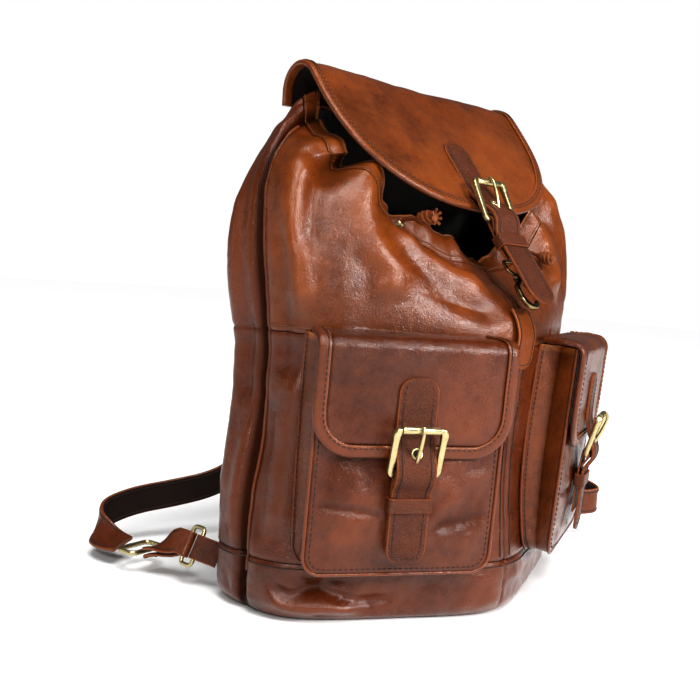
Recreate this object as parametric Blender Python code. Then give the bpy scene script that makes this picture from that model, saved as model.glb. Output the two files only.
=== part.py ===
"""A leather drawstring backpack with two bellows pockets, three buckled flaps and two shoulder straps.

Metres, +Z up, -Y is the front. The origin is the middle of the underside of the base.
"""

import math

import bmesh
import bpy
from mathutils import Matrix, Vector

# ---------------------------------------------------------------- driving dimensions
GAP = 0.0003                 # between pieces that touch
LEATHER = 0.0024             # body panels
LINING_IN = 0.0060           # from the body's outer face to the lining's outer face
LINING = 0.0008
SEAM_Z = 0.205               # cross seam round the front, above the pockets
BASE_Z = 0.0430              # top of the base panel's wall
SIDE_SEAM = math.radians(12)
CORNER_POWER = 8             # how square the plan's corners are
FRONT_ANGLE = math.radians(25.6)   # each half of the front turns back from the centre seam

# Plan of the body by height: distance of the front faces, the sides and the back from the Z axis
STATIONS = (
    # z,    front, side,  back
    (0.000, 0.080, 0.150, 0.056),
    (0.004, 0.0865, 0.158, 0.061),
    (0.014, 0.091, 0.164, 0.064),
    (0.043, 0.0915, 0.165, 0.064),
    (0.085, 0.0865, 0.163, 0.064),
    (0.130, 0.0855, 0.159, 0.064),
    (0.190, 0.0890, 0.157, 0.064),
    (0.205, 0.0905, 0.159, 0.064),
)

# Neck ring, where the gathered hem ends
NECK_X = 0.108
NECK_Y = 0.013
NECK_DEPTH = 0.047
NECK_Z = 0.355
NECK_RISE = 0.0615
NECK_SAG = 0.0315
HEM_HEIGHT = 0.015
HEM = 0.0046

# Pockets: a frame on the front face of each half
POCKET_W = 0.139
POCKET_H = 0.162
POCKET_D = 0.0265
POCKET_FOOT = Vector((0.0885, -0.052, 0.0448))
POCKET_LEAN = math.radians(2.8)
POCKET_CORNER = 0.014
POCKET_LEATHER = 0.0022
POCKET_CROWN = 0.0035
FLAP_OVER = 0.0033           # flap's underside stands this far off the pocket's front
FLAP_W = 0.146
FLAP_DROP = 0.078
FLAP_CORNER = 0.030
FLAP_LEATHER = 0.0024

# Main flap: from its hinge on the back, over the neck, down a flat slope
MAIN_HINGE_Y = 0.0670
MAIN_HINGE_Z = 0.372
MAIN_FOLD = Vector((0.0, 0.038, 0.405))
MAIN_SLOPE = math.radians(49.6)
MAIN_LENGTH = 0.1327
MAIN_HALF = 0.121

# Buckle, billet, chape and keeper, in the frame of the flap that carries them
STRAP_W = 0.0290
BILLET_T = 0.0022
CHAPE_T = 0.0015
BAR_R = 0.0016
BAR_Z = 0.0052
FRAME_HALF = 0.0172
FRAME_LEN = 0.0330
FRAME_TILT = math.radians(12)
ROLLER_R = 0.0027
ROLLER_BORE = 0.0018
AXLE_R = 0.0014
PRONG_R = 0.0011
KEEPER_T = 0.0014

# Shoulder straps
SHOULDER_W = 0.025
SHOULDER_T = 0.0032
LOWER_T = 0.0022
RING_R = 0.0017
RING_LONG = 0.0300
RING_SHORT = 0.0120

LEFT_ROUTE = (
    (-0.0320, 0.0900, 0.286), (-0.0340, 0.0985, 0.255), (-0.0380, 0.1120, 0.205),
    (-0.0420, 0.1300, 0.150), (-0.0450, 0.1500, 0.100), (-0.0520, 0.1710, 0.066),
    (-0.0700, 0.1870, 0.049), (-0.1000, 0.1990, 0.041), (-0.1350, 0.2060, 0.036),
    (-0.1650, 0.2030, 0.0295), (-0.1810, 0.1880, 0.022), (-0.1825, 0.1700, 0.0175),
    (-0.1770, 0.1530, 0.0160),
)
LEFT_ACROSS = (
    (-1, 0, 0), (-1, 0, 0), (-1, 0, 0), (-1, 0, 0.1), (-0.95, 0, 0.35), (-0.75, 0, 0.7),
    (-0.35, 0, 0.95), (0, 0, 1), (0, 0, 1), (0.15, 0.1, 0.98), (0.45, 0.2, 0.85), (0.8, 0.25, 0.5),
    (0.95, 0.3, 0.2),
)
LEFT_RING = Vector((-0.1580, 0.0790, 0.0300))
LEFT_ADJUSTER = Vector((-0.1715, 0.1385, 0.0165))

RIGHT_ROUTE = (
    (0.0320, 0.0900, 0.286), (0.0370, 0.1010, 0.250), (0.0480, 0.1180, 0.200),
    (0.0700, 0.1370, 0.150), (0.1050, 0.1500, 0.112), (0.1500, 0.1490, 0.088),
    (0.1980, 0.1290, 0.072), (0.2400, 0.0950, 0.061), (0.2700, 0.0580, 0.051),
    (0.2850, 0.0260, 0.043), (0.2860, 0.0090, 0.038), (0.2770, 0.0075, 0.036),
    (0.2560, 0.0200, 0.034), (0.2330, 0.0345, 0.0325),
)
RIGHT_ACROSS = (
    (1, 0, 0), (1, 0, 0), (1, 0, 0.1), (0.9, 0, 0.4), (0.6, 0, 0.8), (0.3, 0, 1),
    (0.1, 0, 1), (0, 0, 1), (0, 0, 1), (0, 0, 1), (0, 0, 1), (0, 0, 1),
    (0, 0, 1), (0, 0, 1),
)
RIGHT_RING = Vector((0.1580, 0.0790, 0.0300))
RIGHT_ADJUSTER = Vector((0.2185, 0.0430, 0.0310))
SWING_TOP = Vector((0.0320, 0.0900, 0.288))

# ---------------------------------------------------------------- materials
PALETTE = {
    "tan_leather": ((0.34, 0.12, 0.035), 0.38, 0.0),
    "russet_leather": ((0.24, 0.068, 0.022), 0.38, 0.0),
    "strap_leather": ((0.17, 0.052, 0.022), 0.55, 0.0),
    "cord_leather": ((0.30, 0.10, 0.032), 0.5, 0.0),
    "dark_lining": ((0.012, 0.010, 0.009), 0.9, 0.0),
    "antique_brass": ((0.52, 0.42, 0.23), 0.32, 1.0),
    "dark_brass": ((0.24, 0.18, 0.09), 0.35, 1.0),
    "steel": ((0.5, 0.5, 0.5), 0.3, 1.0),
}


def material(slot):
    if slot in bpy.data.materials:
        return bpy.data.materials[slot]
    colour, roughness, metallic = PALETTE[slot]
    mat = bpy.data.materials.new(slot)
    mat.use_nodes = True
    shader = mat.node_tree.nodes["Principled BSDF"]
    shader.inputs["Base Color"].default_value = (*colour, 1.0)
    shader.inputs["Roughness"].default_value = roughness
    shader.inputs["Metallic"].default_value = metallic
    mat.diffuse_color = (*colour, 1.0)
    return mat


# ---------------------------------------------------------------- mesh helpers
def add_object(name, verts, faces, slot, origin=(0, 0, 0), smooth=35):
    """Makes one closed solid; its vertices are given in world space."""
    origin = Vector(origin)
    mesh = bpy.data.meshes.new(name)
    mesh.from_pydata([Vector(v) - origin for v in verts], [], faces)
    bm = bmesh.new()
    bm.from_mesh(mesh)
    bmesh.ops.recalc_face_normals(bm, faces=bm.faces)
    if bm.calc_volume(signed=True) < 0:
        bmesh.ops.reverse_faces(bm, faces=bm.faces)
    bm.to_mesh(mesh)
    bm.free()
    mesh.shade_smooth()
    mesh.set_sharp_from_angle(angle=math.radians(smooth))
    mesh.materials.append(material(slot))
    obj = bpy.data.objects.new(name, mesh)
    obj.location = origin
    bpy.context.scene.collection.objects.link(obj)
    return obj


def grid_normals(grid, wrap=False):
    rows, cols = len(grid), len(grid[0])
    out = []
    for i in range(rows):
        line = []
        for j in range(cols):
            up = grid[min(i + 1, rows - 1)][j] - grid[max(i - 1, 0)][j]
            if wrap:
                along = grid[i][(j + 1) % cols] - grid[i][(j - 1) % cols]
            else:
                along = grid[i][min(j + 1, cols - 1)] - grid[i][max(j - 1, 0)]
            line.append(along.cross(up).normalized())
        out.append(line)
    return out


def offset_grid(grid, distance, wrap=False):
    """Moves every point along the surface normal, which is (along the row) x (up the rows)."""
    normals = grid_normals(grid, wrap)
    return [[p + n * distance for p, n in zip(row, line)] for row, line in zip(grid, normals)]


def slab(outer, inner, wrap=False):
    """Closed solid between two grids of the same size."""
    rows, cols = len(outer), len(outer[0])
    verts = [p for row in outer for p in row] + [p for row in inner for p in row]
    shift = rows * cols
    faces = []
    last = cols if wrap else cols - 1
    for i in range(rows - 1):
        for j in range(last):
            k = (j + 1) % cols
            a, b, c, d = i * cols + j, i * cols + k, (i + 1) * cols + k, (i + 1) * cols + j
            faces.append((a, b, c, d))
            faces.append((shift + d, shift + c, shift + b, shift + a))
    for j in range(last):
        k = (j + 1) % cols
        faces.append((j, shift + j, shift + k, k))
        top = (rows - 1) * cols
        faces.append((top + k, shift + top + k, shift + top + j, top + j))
    if not wrap:
        for i in range(rows - 1):
            a, b = i * cols, (i + 1) * cols
            faces.append((a, b, shift + b, shift + a))
            a, b = a + cols - 1, b + cols - 1
            faces.append((b, a, shift + a, shift + b))
    return verts, faces


def sweep(points, across, half_w, half_t, sides=4, closed=False):
    """Carries a section along points. across is the section's wide direction at each point; half_w and
    half_t are single values or one per point. sides=4 gives a flat strap, more sides a round bar."""
    count = len(points)
    half_w = half_w if isinstance(half_w, (list, tuple)) else [half_w] * count
    half_t = half_t if isinstance(half_t, (list, tuple)) else [half_t] * count
    if sides == 4:
        ring = [(1, 1), (-1, 1), (-1, -1), (1, -1)]
    else:
        ring = [(math.cos(math.tau * k / sides), math.sin(math.tau * k / sides)) for k in range(sides)]
    verts = []
    for i, p in enumerate(points):
        if closed:
            tangent = points[(i + 1) % count] - points[i - 1]
        else:
            tangent = points[min(i + 1, count - 1)] - points[max(i - 1, 0)]
        tangent.normalize()
        wide = Vector(across[i])
        wide = (wide - tangent * wide.dot(tangent)).normalized()
        thin = tangent.cross(wide)
        verts += [p + wide * (a * half_w[i]) + thin * (b * half_t[i]) for a, b in ring]
    faces = []
    for i in range(count if closed else count - 1):
        a, b = i * sides, ((i + 1) % count) * sides
        for k in range(sides):
            m = (k + 1) % sides
            faces.append((a + k, a + m, b + m, b + k))
    if not closed:
        faces.append(tuple(range(sides - 1, -1, -1)))
        last = (count - 1) * sides
        faces.append(tuple(range(last, last + sides)))
    return verts, faces


def tube(start, end, bore, radius, sides=20):
    """A hollow round sleeve."""
    axis = (end - start).normalized()
    side = axis.orthogonal().normalized()
    other = axis.cross(side)
    verts = []
    for centre, r in ((start, bore), (start, radius), (end, radius), (end, bore)):
        for k in range(sides):
            t = math.tau * k / sides
            verts.append(centre + side * (r * math.cos(t)) + other * (r * math.sin(t)))
    faces = []
    for ring in range(4):
        a, b = ring * sides, ((ring + 1) % 4) * sides
        for k in range(sides):
            m = (k + 1) % sides
            faces.append((a + k, a + m, b + m, b + k))
    return verts, faces


def smooth_route(points, per_span):
    """Catmull-Rom curve through the points."""
    points = [Vector(p) for p in points]
    out = []
    for i in range(len(points) - 1):
        p0, p1 = points[max(i - 1, 0)], points[i]
        p2, p3 = points[i + 1], points[min(i + 2, len(points) - 1)]
        for k in range(per_span):
            t = k / per_span
            out.append(0.5 * (2 * p1 + (p2 - p0) * t + (2 * p0 - 5 * p1 + 4 * p2 - p3) * t * t
                              + (3 * p1 - p0 - 3 * p2 + p3) * t ** 3))
    out.append(points[-1])
    return out


def round_end(points, across, half_w, radius, steps=4):
    """Half widths that close a strap's last stretch with a round tip; adds points along the tip."""
    tip, before = points[-1], points[-2]
    direction = (tip - before).normalized()
    base = [p for p in points[:-1] if (tip - p).length > radius]
    out_points, out_across = list(base), list(across[:len(base)])
    widths = [half_w] * len(base)
    for k in range(steps + 1):
        t = math.sin(0.5 * math.pi * k / steps) * 0.985
        out_points.append(tip - direction * radius * (1 - t))
        out_across.append(across[-1])
        widths.append(half_w - radius + radius * math.sqrt(1 - t * t))
    return out_points, out_across, widths


def cut(obj, size, centre, frame):
    """Cuts a box out of obj; frame places the box."""
    half = [s / 2 for s in size]
    verts = [frame @ (Vector(centre) + Vector((x * half[0], y * half[1], z * half[2])))
             for x in (-1, 1) for y in (-1, 1) for z in (-1, 1)]
    faces = [(0, 1, 3, 2), (4, 6, 7, 5), (0, 4, 5, 1), (2, 3, 7, 6), (0, 2, 6, 4), (1, 5, 7, 3)]
    cutter = add_object(obj.name + "_cutter", verts, faces, "steel")
    hide_as_cutter(cutter)
    boolean(obj, cutter)


def hide_as_cutter(cutter):
    cutter.hide_render = True
    cutter.display_type = "WIRE"


def boolean(obj, cutter):
    modifier = obj.modifiers.new("cut_" + cutter.name, "BOOLEAN")
    modifier.operation = "DIFFERENCE"
    modifier.solver = "EXACT"
    modifier.object = cutter


# ---------------------------------------------------------------- body surface
def lerp_station(z):
    """Front, side and back distances at height z, on smooth cubics between the stations."""
    rows = STATIONS
    if z <= rows[0][0]:
        return rows[0][1:]
    for i in range(len(rows) - 1):
        if z <= rows[i + 1][0]:
            break
    z0, z1 = rows[i][0], rows[i + 1][0]
    t = (min(z, z1) - z0) / (z1 - z0)
    out = []
    for k in (1, 2, 3):
        v0, v1 = rows[i][k], rows[i + 1][k]
        before, after = rows[max(i - 1, 0)], rows[min(i + 2, len(rows) - 1)]
        m0 = (v1 - before[k]) / (z1 - before[0]) * (z1 - z0)
        m1 = (after[k] - v0) / (after[0] - z0) * (z1 - z0)
        h = (2 * t ** 3 - 3 * t * t + 1, t ** 3 - 2 * t * t + t, -2 * t ** 3 + 3 * t * t, t ** 3 - t * t)
        out.append(h[0] * v0 + h[1] * m0 + h[2] * v1 + h[3] * m1)
    return out


def plan_point(turn, z):
    """Outer face of the lower body. turn runs -90 degrees at the front seam, 0 at the right, 90 at the back."""
    front, side, back = lerp_station(z)
    x, y = 0.16 * math.cos(turn), 0.085 * math.sin(turn)
    length = math.hypot(x, y)
    x, y = x / length, y / length
    s, c = math.sin(FRONT_ANGLE), math.cos(FRONT_ANGLE)
    faces = ((s * x - c * y, front), (-s * x - c * y, front), (x, side), (-x, side), (y, back))
    total = sum((max(0.0, d) / dist) ** CORNER_POWER for d, dist in faces)
    radius = total ** (-1.0 / CORNER_POWER)
    return Vector((x * radius, y * radius, z))


def inside_body(p):
    """Below 1 inside the lower body's outer face, above 1 outside."""
    front, side, back = lerp_station(p.z)
    s, c = math.sin(FRONT_ANGLE), math.cos(FRONT_ANGLE)
    faces = ((s * p.x - c * p.y, front), (-s * p.x - c * p.y, front), (p.x, side), (-p.x, side), (p.y, back))
    return sum((max(0.0, d) / dist) ** CORNER_POWER for d, dist in faces) ** (1.0 / CORNER_POWER)


def neck_point(turn):
    c, s = math.cos(turn), math.sin(turn)
    power = 0.6 if s > 0 else 1.0
    x = NECK_X * math.copysign(abs(c) ** power, c)
    y = NECK_Y + NECK_DEPTH * math.copysign(abs(s) ** power, s)
    return Vector((x, y, NECK_Z + NECK_RISE * s - NECK_SAG * s * s))


def shoulder_point(turn, v):
    """Outer face above the cross seam: v is 0 at the seam and 1 at the neck ring."""
    c, s = math.cos(turn), math.sin(turn)
    low, high = plan_point(turn, SEAM_Z), neck_point(turn)
    back = max(0.0, s) ** 4
    front = max(0.0, -s) ** 2
    side = 1.0 - back - front
    low_tangent = Vector((0.02 * c * side, -0.02 * front, 0.20 * side + 0.18 * back + 0.07 * front))
    high_tangent = Vector((-0.22 * c * side, 0.09 * front - 0.02 * s * side,
                           0.05 * side + 0.18 * back + 0.03 * front))
    h = (2 * v ** 3 - 3 * v * v + 1, v ** 3 - 2 * v * v + v, -2 * v ** 3 + 3 * v * v, v ** 3 - v * v)
    return low * h[0] + low_tangent * h[1] + high * h[2] + high_tangent * h[3]


def hem_start(turn):
    """Where the hem starts at this turn, so that it is HEM_HEIGHT tall all round."""
    points = [shoulder_point(turn, k / 12) for k in range(13)]
    length = sum((b - a).length for a, b in zip(points, points[1:]))
    return 1.0 - HEM_HEIGHT / length


def skin(turn, v):
    """Outer face of the whole body: v is -1 at the floor, 0 at the cross seam and 1 at the neck ring."""
    return plan_point(turn, SEAM_Z * (1.0 + v)) if v < 0 else shoulder_point(turn, v)


def skin_normal(turn, v):
    step = 0.01
    along = skin(turn + step, v) - skin(turn - step, v)
    up = skin(turn, min(v + step, 1.0)) - skin(turn, v - step)
    return along.cross(up).normalized()


def wall_height(z):
    """A row of the lower body, as the v of each turn."""
    return lambda turn: z / SEAM_Z - 1.0


def upper_share(share):
    """A row of the upper panels: share is 0 at the cross seam and 1 where the hem starts."""
    return lambda turn: share * hem_start(turn)


def hem_share(share):
    """A row of the hem: share is 0 at its lower edge and 1 at the neck ring."""
    return lambda turn: hem_start(turn) + (1.0 - hem_start(turn)) * share


def shell(turns, rows, depth, thickness, wrap=False):
    """Solid wall along the body's outer face, from depth to depth + thickness inside it."""
    grids = []
    for inset in (depth, depth + thickness):
        grids.append([[skin(t, row(t)) - skin_normal(t, row(t)) * inset for t in turns] for row in rows])
    return slab(grids[0], grids[1], wrap)


def spread(start, end, count):
    return [start + (end - start) * k / count for k in range(count + 1)]


def panel(name, turns, rows, slot):
    verts, faces = shell(turns, rows, 0.0, LEATHER)
    return add_object(name, verts, faces, slot)


def seam_gap(turn, z, sign):
    """Moves a turn angle by a gap along the surface."""
    step = 0.01
    width = (plan_point(turn + step, z) - plan_point(turn, z)).length
    return turn + sign * step * GAP / width


def make_body():
    lower = [wall_height(z) for z in spread(BASE_Z + GAP, 0.062, 3) + spread(0.085, SEAM_Z - GAP / 2, 4)]
    upper = [upper_share(share) for share in spread(0.002, 0.988, 8)]
    centre = -math.pi / 2
    halves = {
        "right": spread(seam_gap(centre, 0.12, 1), seam_gap(SIDE_SEAM, 0.12, -1), 12),
        "left": spread(seam_gap(-math.pi - SIDE_SEAM, 0.12, 1), seam_gap(centre, 0.12, -1), 12),
    }
    for side, turns in halves.items():
        panel("front_lower_" + side, turns, lower, "russet_leather")
        panel("front_upper_" + side, turns, upper, "tan_leather")
    turns = spread(seam_gap(SIDE_SEAM, 0.12, 1), seam_gap(math.pi - SIDE_SEAM, 0.12, -1), 18)
    panel("back_panel", turns, lower[:-1] + [wall_height(SEAM_Z)] + upper[1:], "russet_leather")

    # The hem and the base turn at the same angles as the panels that they meet
    ring = spread(centre, SIDE_SEAM, 12)[:-1] + spread(SIDE_SEAM, math.pi - SIDE_SEAM, 18)[:-1]
    ring += spread(math.pi - SIDE_SEAM, math.tau + centre, 12)[:-1]
    make_base(ring)
    verts, faces = shell(ring, [hem_share(share) for share in spread(0.03, 1.0, 2)], 0.0, HEM, True)
    collar = add_object("collar", verts, faces, "tan_leather")
    make_lining()
    return collar


def make_base(ring):
    heights = [0.0, 0.0035, 0.014, 0.030, BASE_Z]
    outer = [[plan_point(t, z) for t in ring] for z in heights]
    inner_heights = [0.003, 0.0045, 0.014, 0.030, BASE_Z]
    inner = [[Vector((p.x * (1 - LEATHER / p.xy.length), p.y * (1 - LEATHER / p.xy.length), z)) for p in
              [plan_point(t, max(z, 0.0035)) for t in ring]] for z in inner_heights]
    verts = [p for row in outer for p in row] + [p for row in inner for p in row]
    count, shift = len(ring), len(heights) * len(ring)
    faces = [tuple(range(count - 1, -1, -1)), tuple(range(shift, shift + count))]
    for i in range(len(heights) - 1):
        for j in range(count):
            k = (j + 1) % count
            a, b, c, d = i * count + j, i * count + k, (i + 1) * count + k, (i + 1) * count + j
            faces.append((a, b, c, d))
            faces.append((shift + d, shift + c, shift + b, shift + a))
    top = (len(heights) - 1) * count
    for j in range(count):
        k = (j + 1) % count
        faces.append((top + j, top + k, shift + top + k, shift + top + j))
    add_object("base_panel", verts, faces, "russet_leather")


def make_lining():
    ring = [math.tau * k / 32 - math.pi / 2 for k in range(32)]
    rows = [wall_height(z) for z in spread(0.020, SEAM_Z, 4)]
    rows += [upper_share(share) for share in spread(0.0, 0.90, 6)[1:]]
    verts, faces = shell(ring, rows, LINING_IN, LINING, True)
    half = len(verts) // 2
    outer, inner = verts[:len(ring)], verts[half:half + len(ring)]
    floor = 0.0050
    count = len(ring)
    foot = len(verts)
    verts += [Vector((p.x * 0.97, p.y * 0.97, floor)) for p in outer]
    verts += [Vector((p.x * 0.97, p.y * 0.97, floor + LINING)) for p in inner]
    rim = {(j, half + j, half + (j + 1) % count, (j + 1) % count) for j in range(count)}
    faces = [f for f in faces if f not in rim]
    for j in range(count):
        k = (j + 1) % count
        faces.append((foot + j, foot + k, k, j))
        faces.append((foot + count + k, foot + count + j, half + j, half + k))
    faces += [tuple(range(foot + count - 1, foot - 1, -1)), tuple(range(foot + count, foot + 2 * count))]
    add_object("lining", verts, faces, "dark_lining")


# ---------------------------------------------------------------- drawcord
CORD_R = 0.0015
EYELET_BORE = 0.0021
EYELET_R = 0.0034
EYELET_TURNS = {"left": math.radians(-128), "right": math.radians(-52)}


def hem_frame(turn):
    """Middle of the hem at this turn, and the outward normal there."""
    v = hem_share(0.5)(turn)
    return skin(turn, v), skin_normal(turn, v)


def make_drawcord(collar):
    route = []
    for side, sign in (("left", -1), ("right", 1)):
        p, out = hem_frame(EYELET_TURNS[side])
        ends = [p - out * (HEM + 0.004), p + out * 0.004]
        verts, faces = sweep(ends, [out.orthogonal()] * 2, EYELET_R + GAP, EYELET_R + GAP, 16)
        cutter = add_object("eyelet_hole_" + side, verts, faces, "steel")
        hide_as_cutter(cutter)
        boolean(collar, cutter)
        verts, faces = tube(p - out * (HEM + 0.0006), p + out * 0.0008, EYELET_BORE, EYELET_R, 20)
        add_object("drawcord_eyelet_" + side, verts, faces, "antique_brass")
        drop = Vector((0.003 * sign, -0.010, -0.004)) if side == "left" else Vector((0.004, -0.014, -0.010))
        tip = p + out * 0.011 + drop
        inside = p - out * (HEM + 0.0048)
        end = [inside, p - out * (HEM + 0.0018), p, p + out * 0.004, tip]
        route.append((end, tip, (tip - (p + out * 0.004)).normalized()))
    start_turn, end_turn = EYELET_TURNS["left"] + math.tau, EYELET_TURNS["right"]
    ring = []
    for k in range(1, 24):
        p, out = hem_frame(start_turn + (end_turn - start_turn) * k / 24)
        ring.append(p - out * (HEM + 0.0040))
    points = [Vector(p) for p in reversed(route[0][0])] + ring + route[1][0]
    curve = bpy.data.curves.new("drawcord", "CURVE")
    curve.dimensions = "3D"
    curve.bevel_depth = CORD_R
    curve.bevel_resolution = 2
    curve.use_fill_caps = True
    spline = curve.splines.new("POLY")
    spline.points.add(len(points) - 1)
    for slot, p in zip(spline.points, points):
        slot.co = (*p, 1.0)
    curve.materials.append(material("cord_leather"))
    cord = bpy.data.objects.new("drawcord", curve)
    bpy.context.scene.collection.objects.link(cord)
    for (_, tip, direction), name in zip(route, ("drawcord_knot_left", "drawcord_toggle_right")):
        length, radius = (0.017, 0.0058) if "knot" in name else (0.013, 0.0052)
        start = tip + direction * (CORD_R * 0.2 + GAP)
        steps = 6
        points = [start + direction * length * k / steps for k in range(steps + 1)]
        bulge = [radius * (0.62 + 0.38 * math.sin(math.pi * k / steps)) for k in range(steps + 1)]
        side = direction.orthogonal()
        verts, faces = sweep(points, [side] * len(points), bulge, bulge, 12)
        add_object(name, verts, faces, "cord_leather")


# ---------------------------------------------------------------- buckled strap, shared by the three flaps
def arc(centre, radius, start, end, steps):
    """Points on an arc in a strap's side view, as (y, z), angles in degrees from +y."""
    out = []
    for k in range(steps + 1):
        t = math.radians(start + (end - start) * k / steps)
        out.append((centre[0] + radius * math.cos(t), centre[1] + radius * math.sin(t)))
    return out


def make_buckled_strap(prefix, frame, top, tip, chape_tail, keeper_y):
    """Billet, chape, keeper, buckle frame, roller and prong. frame places x across, y up the strap, z out.
    y is 0 at the hinge bar."""
    def place(points, x=0.0):
        return [frame @ Vector((x, y, z)) for y, z in points]

    wide = frame.to_3x3() @ Vector((1, 0, 0))
    bar = frame @ Vector((0, 0, BAR_Z))
    roller_y = FRAME_LEN * math.cos(FRAME_TILT)
    roller_z = BAR_Z + FRAME_LEN * math.sin(FRAME_TILT)

    # The billet lies on the flap, dips behind the roller, rides over the hinge bar and runs down to its tip
    low = BILLET_T / 2 + GAP
    over = BAR_Z + BAR_R + GAP + CHAPE_T + 2 * GAP + BILLET_T / 2 + 0.0006
    on_tail = 0.0048
    line = [(top, low), (top * 0.75, low), (roller_y + 0.008, low), (roller_y, low + 0.0002),
            (roller_y - 0.006, low + 0.0012), (0.019, 0.0048), (0.012, 0.0080), (0.004, over),
            (-0.002, over - 0.0003), (-0.0065, 0.0086), (-0.0105, on_tail + 0.0010), (-0.016, on_tail),
            (-0.028, on_tail), (tip * 0.7, on_tail), (tip, on_tail - 0.0004)]
    route = smooth_route([Vector((0, y, z)) for y, z in line], 2)
    route = [frame @ p for p in route]
    route, across, widths = round_end(route, [wide] * len(route), STRAP_W / 2, 0.012)
    route, across, tail = route[::-1], across[::-1], widths[::-1]
    route, across, widths = round_end(route, across, STRAP_W / 2, 0.011)
    keep = len(tail)
    widths = [min(w, tail[i]) if i < keep else w for i, w in enumerate(widths)]
    verts, faces = sweep(route, across, widths, BILLET_T / 2)
    billet = add_object(prefix + "_billet", verts, faces, "strap_leather")
    cut(billet, (0.0040, 0.0094, 0.010), (0, 0.0110, 0.0082), frame)

    # The chape turns round the hinge bar; a slot in the turn lets the prong through
    wrap = BAR_R + GAP + CHAPE_T / 2
    under = GAP + CHAPE_T / 2
    line = [(chape_tail, under), (chape_tail * 0.5, under), (-0.012, under + 0.0003)]
    line += arc((0, BAR_Z), wrap, -105, 120, 9)
    line += [(-0.0052, BAR_Z + 0.0006), (-0.0095, under + CHAPE_T + GAP + 0.0004)]
    points = place(line)
    verts, faces = sweep(points, [wide] * len(points), STRAP_W / 2 - 0.0006, CHAPE_T / 2)
    chape = add_object(prefix + "_chape", verts, faces, "strap_leather")
    cut(chape, (0.0056, 0.0190, 0.0140), (0, 0.0035, BAR_Z), frame)

    # The keeper is a closed band round the chape's tail and the billet
    half = STRAP_W / 2 + GAP + KEEPER_T / 2
    foot, crest = -KEEPER_T / 2, on_tail + BILLET_T / 2 + GAP + KEEPER_T / 2
    corners = [Vector((x, keeper_y, z)) for x, z in ((half, foot), (half, crest), (-half, crest), (-half, foot))]
    loop = []
    for i, corner in enumerate(corners):
        before, after = corners[i - 1], corners[(i + 1) % 4]
        loop.append(frame @ (corner + (before - corner).normalized() * 0.0012))
        loop.append(frame @ (corner + (after - corner).normalized() * 0.0012))
    up = frame.to_3x3() @ Vector((0, 1, 0))
    verts, faces = sweep(loop, [up] * len(loop), 0.0050, KEEPER_T / 2, closed=True)
    add_object(prefix + "_keeper", verts, faces, "strap_leather")

    # Cast frame: one closed bar whose section is heavier along the arms
    tilt = Matrix.Translation((0, 0, BAR_Z)) @ Matrix.Rotation(FRAME_TILT, 4, "X")
    corner = 0.0032
    loop, wide_half, deep_half = [], [], []
    side, far = FRAME_HALF - corner, FRAME_LEN - corner
    for cx, cy, start in ((side, far, 0), (-side, far, 90), (-side, corner, 180), (side, corner, 270)):
        for k in range(5):
            t = math.radians(start + 22.5 * k)
            x, y = cx + corner * math.cos(t), cy + corner * math.sin(t)
            loop.append(frame @ tilt @ Vector((x, y, 0)))
            arm = abs(math.cos(t))
            wide_half.append(AXLE_R + (0.0019 - AXLE_R) * arm)
            deep_half.append(AXLE_R + (0.0022 - AXLE_R) * arm)
    out = (frame @ tilt).to_3x3() @ Vector((0, 0, 1))
    verts, faces = sweep(loop, [out] * len(loop), deep_half, wide_half, 10, closed=True)
    add_object(prefix + "_buckle_frame", verts, faces, "antique_brass", bar)

    roller_half = FRAME_HALF - corner - 0.0004
    axle = frame @ tilt @ Vector((0, FRAME_LEN, 0))
    verts, faces = tube(axle - wide * roller_half, axle + wide * roller_half, ROLLER_BORE, ROLLER_R)
    add_object(prefix + "_roller", verts, faces, "antique_brass", axle)

    # The prong is a bent rod: round the hinge bar, up through the billet's slot, to rest on the roller
    eye = BAR_R + GAP + PRONG_R
    line = arc((0, BAR_Z), eye, -60, -290, 9)
    line += [(0.0060, 0.0072), (0.0095, 0.0086), (0.0140, 0.0112), (0.0210, roller_z + 0.0020),
             (roller_y - 0.0030, roller_z + ROLLER_R + GAP + PRONG_R + 0.0004),
             (roller_y, roller_z + ROLLER_R + GAP + PRONG_R + 0.0002),
             (roller_y + 0.0030, roller_z + ROLLER_R + PRONG_R - 0.0004)]
    points = place(line)
    verts, faces = sweep(points, [wide] * len(points), PRONG_R, PRONG_R, 8)
    add_object(prefix + "_prong", verts, faces, "antique_brass", bar)


# ---------------------------------------------------------------- pockets
def pocket_frame(sign):
    """Placing of a pocket: x across, y up, z out of the bag; the origin is the middle of its foot."""
    out = Vector((sign * math.sin(FRONT_ANGLE), -math.cos(FRONT_ANGLE), 0))
    up = out * math.sin(POCKET_LEAN) + Vector((0, 0, math.cos(POCKET_LEAN)))
    out = out * math.cos(POCKET_LEAN) - Vector((0, 0, math.sin(POCKET_LEAN)))
    right = up.cross(out)
    foot = Vector((sign * POCKET_FOOT.x, POCKET_FOOT.y, POCKET_FOOT.z))
    return Matrix.Translation(foot) @ Matrix((right, up, out)).transposed().to_4x4()


def wall_depth(frame, x, y):
    """Height of the bag's outer face above the pocket's back plane at (x, y)."""
    low, high = -0.04, 0.04
    for _ in range(30):
        mid = (low + high) / 2
        if inside_body(frame @ Vector((x, y, mid))) > 1:
            high = mid
        else:
            low = mid
    return high


def u_outline(half, height, corner, steps=4):
    """A U from the top left, round the foot, to the top right, as (x, y)."""
    out = [(-half, height - height * k / 4) for k in range(4)]
    foot = half - corner
    for cx, start in ((-foot, 180), (foot, 270)):
        for k in range(steps + 1):
            t = math.radians(start + 90 * k / steps)
            out.append((cx + corner * math.cos(t), corner + corner * math.sin(t)))
        if cx < 0:
            out += [(foot * k / 4, 0.0) for k in range(-3, 4)]
    out += [(half, height * k / 4) for k in range(1, 5)]
    return out


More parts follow.
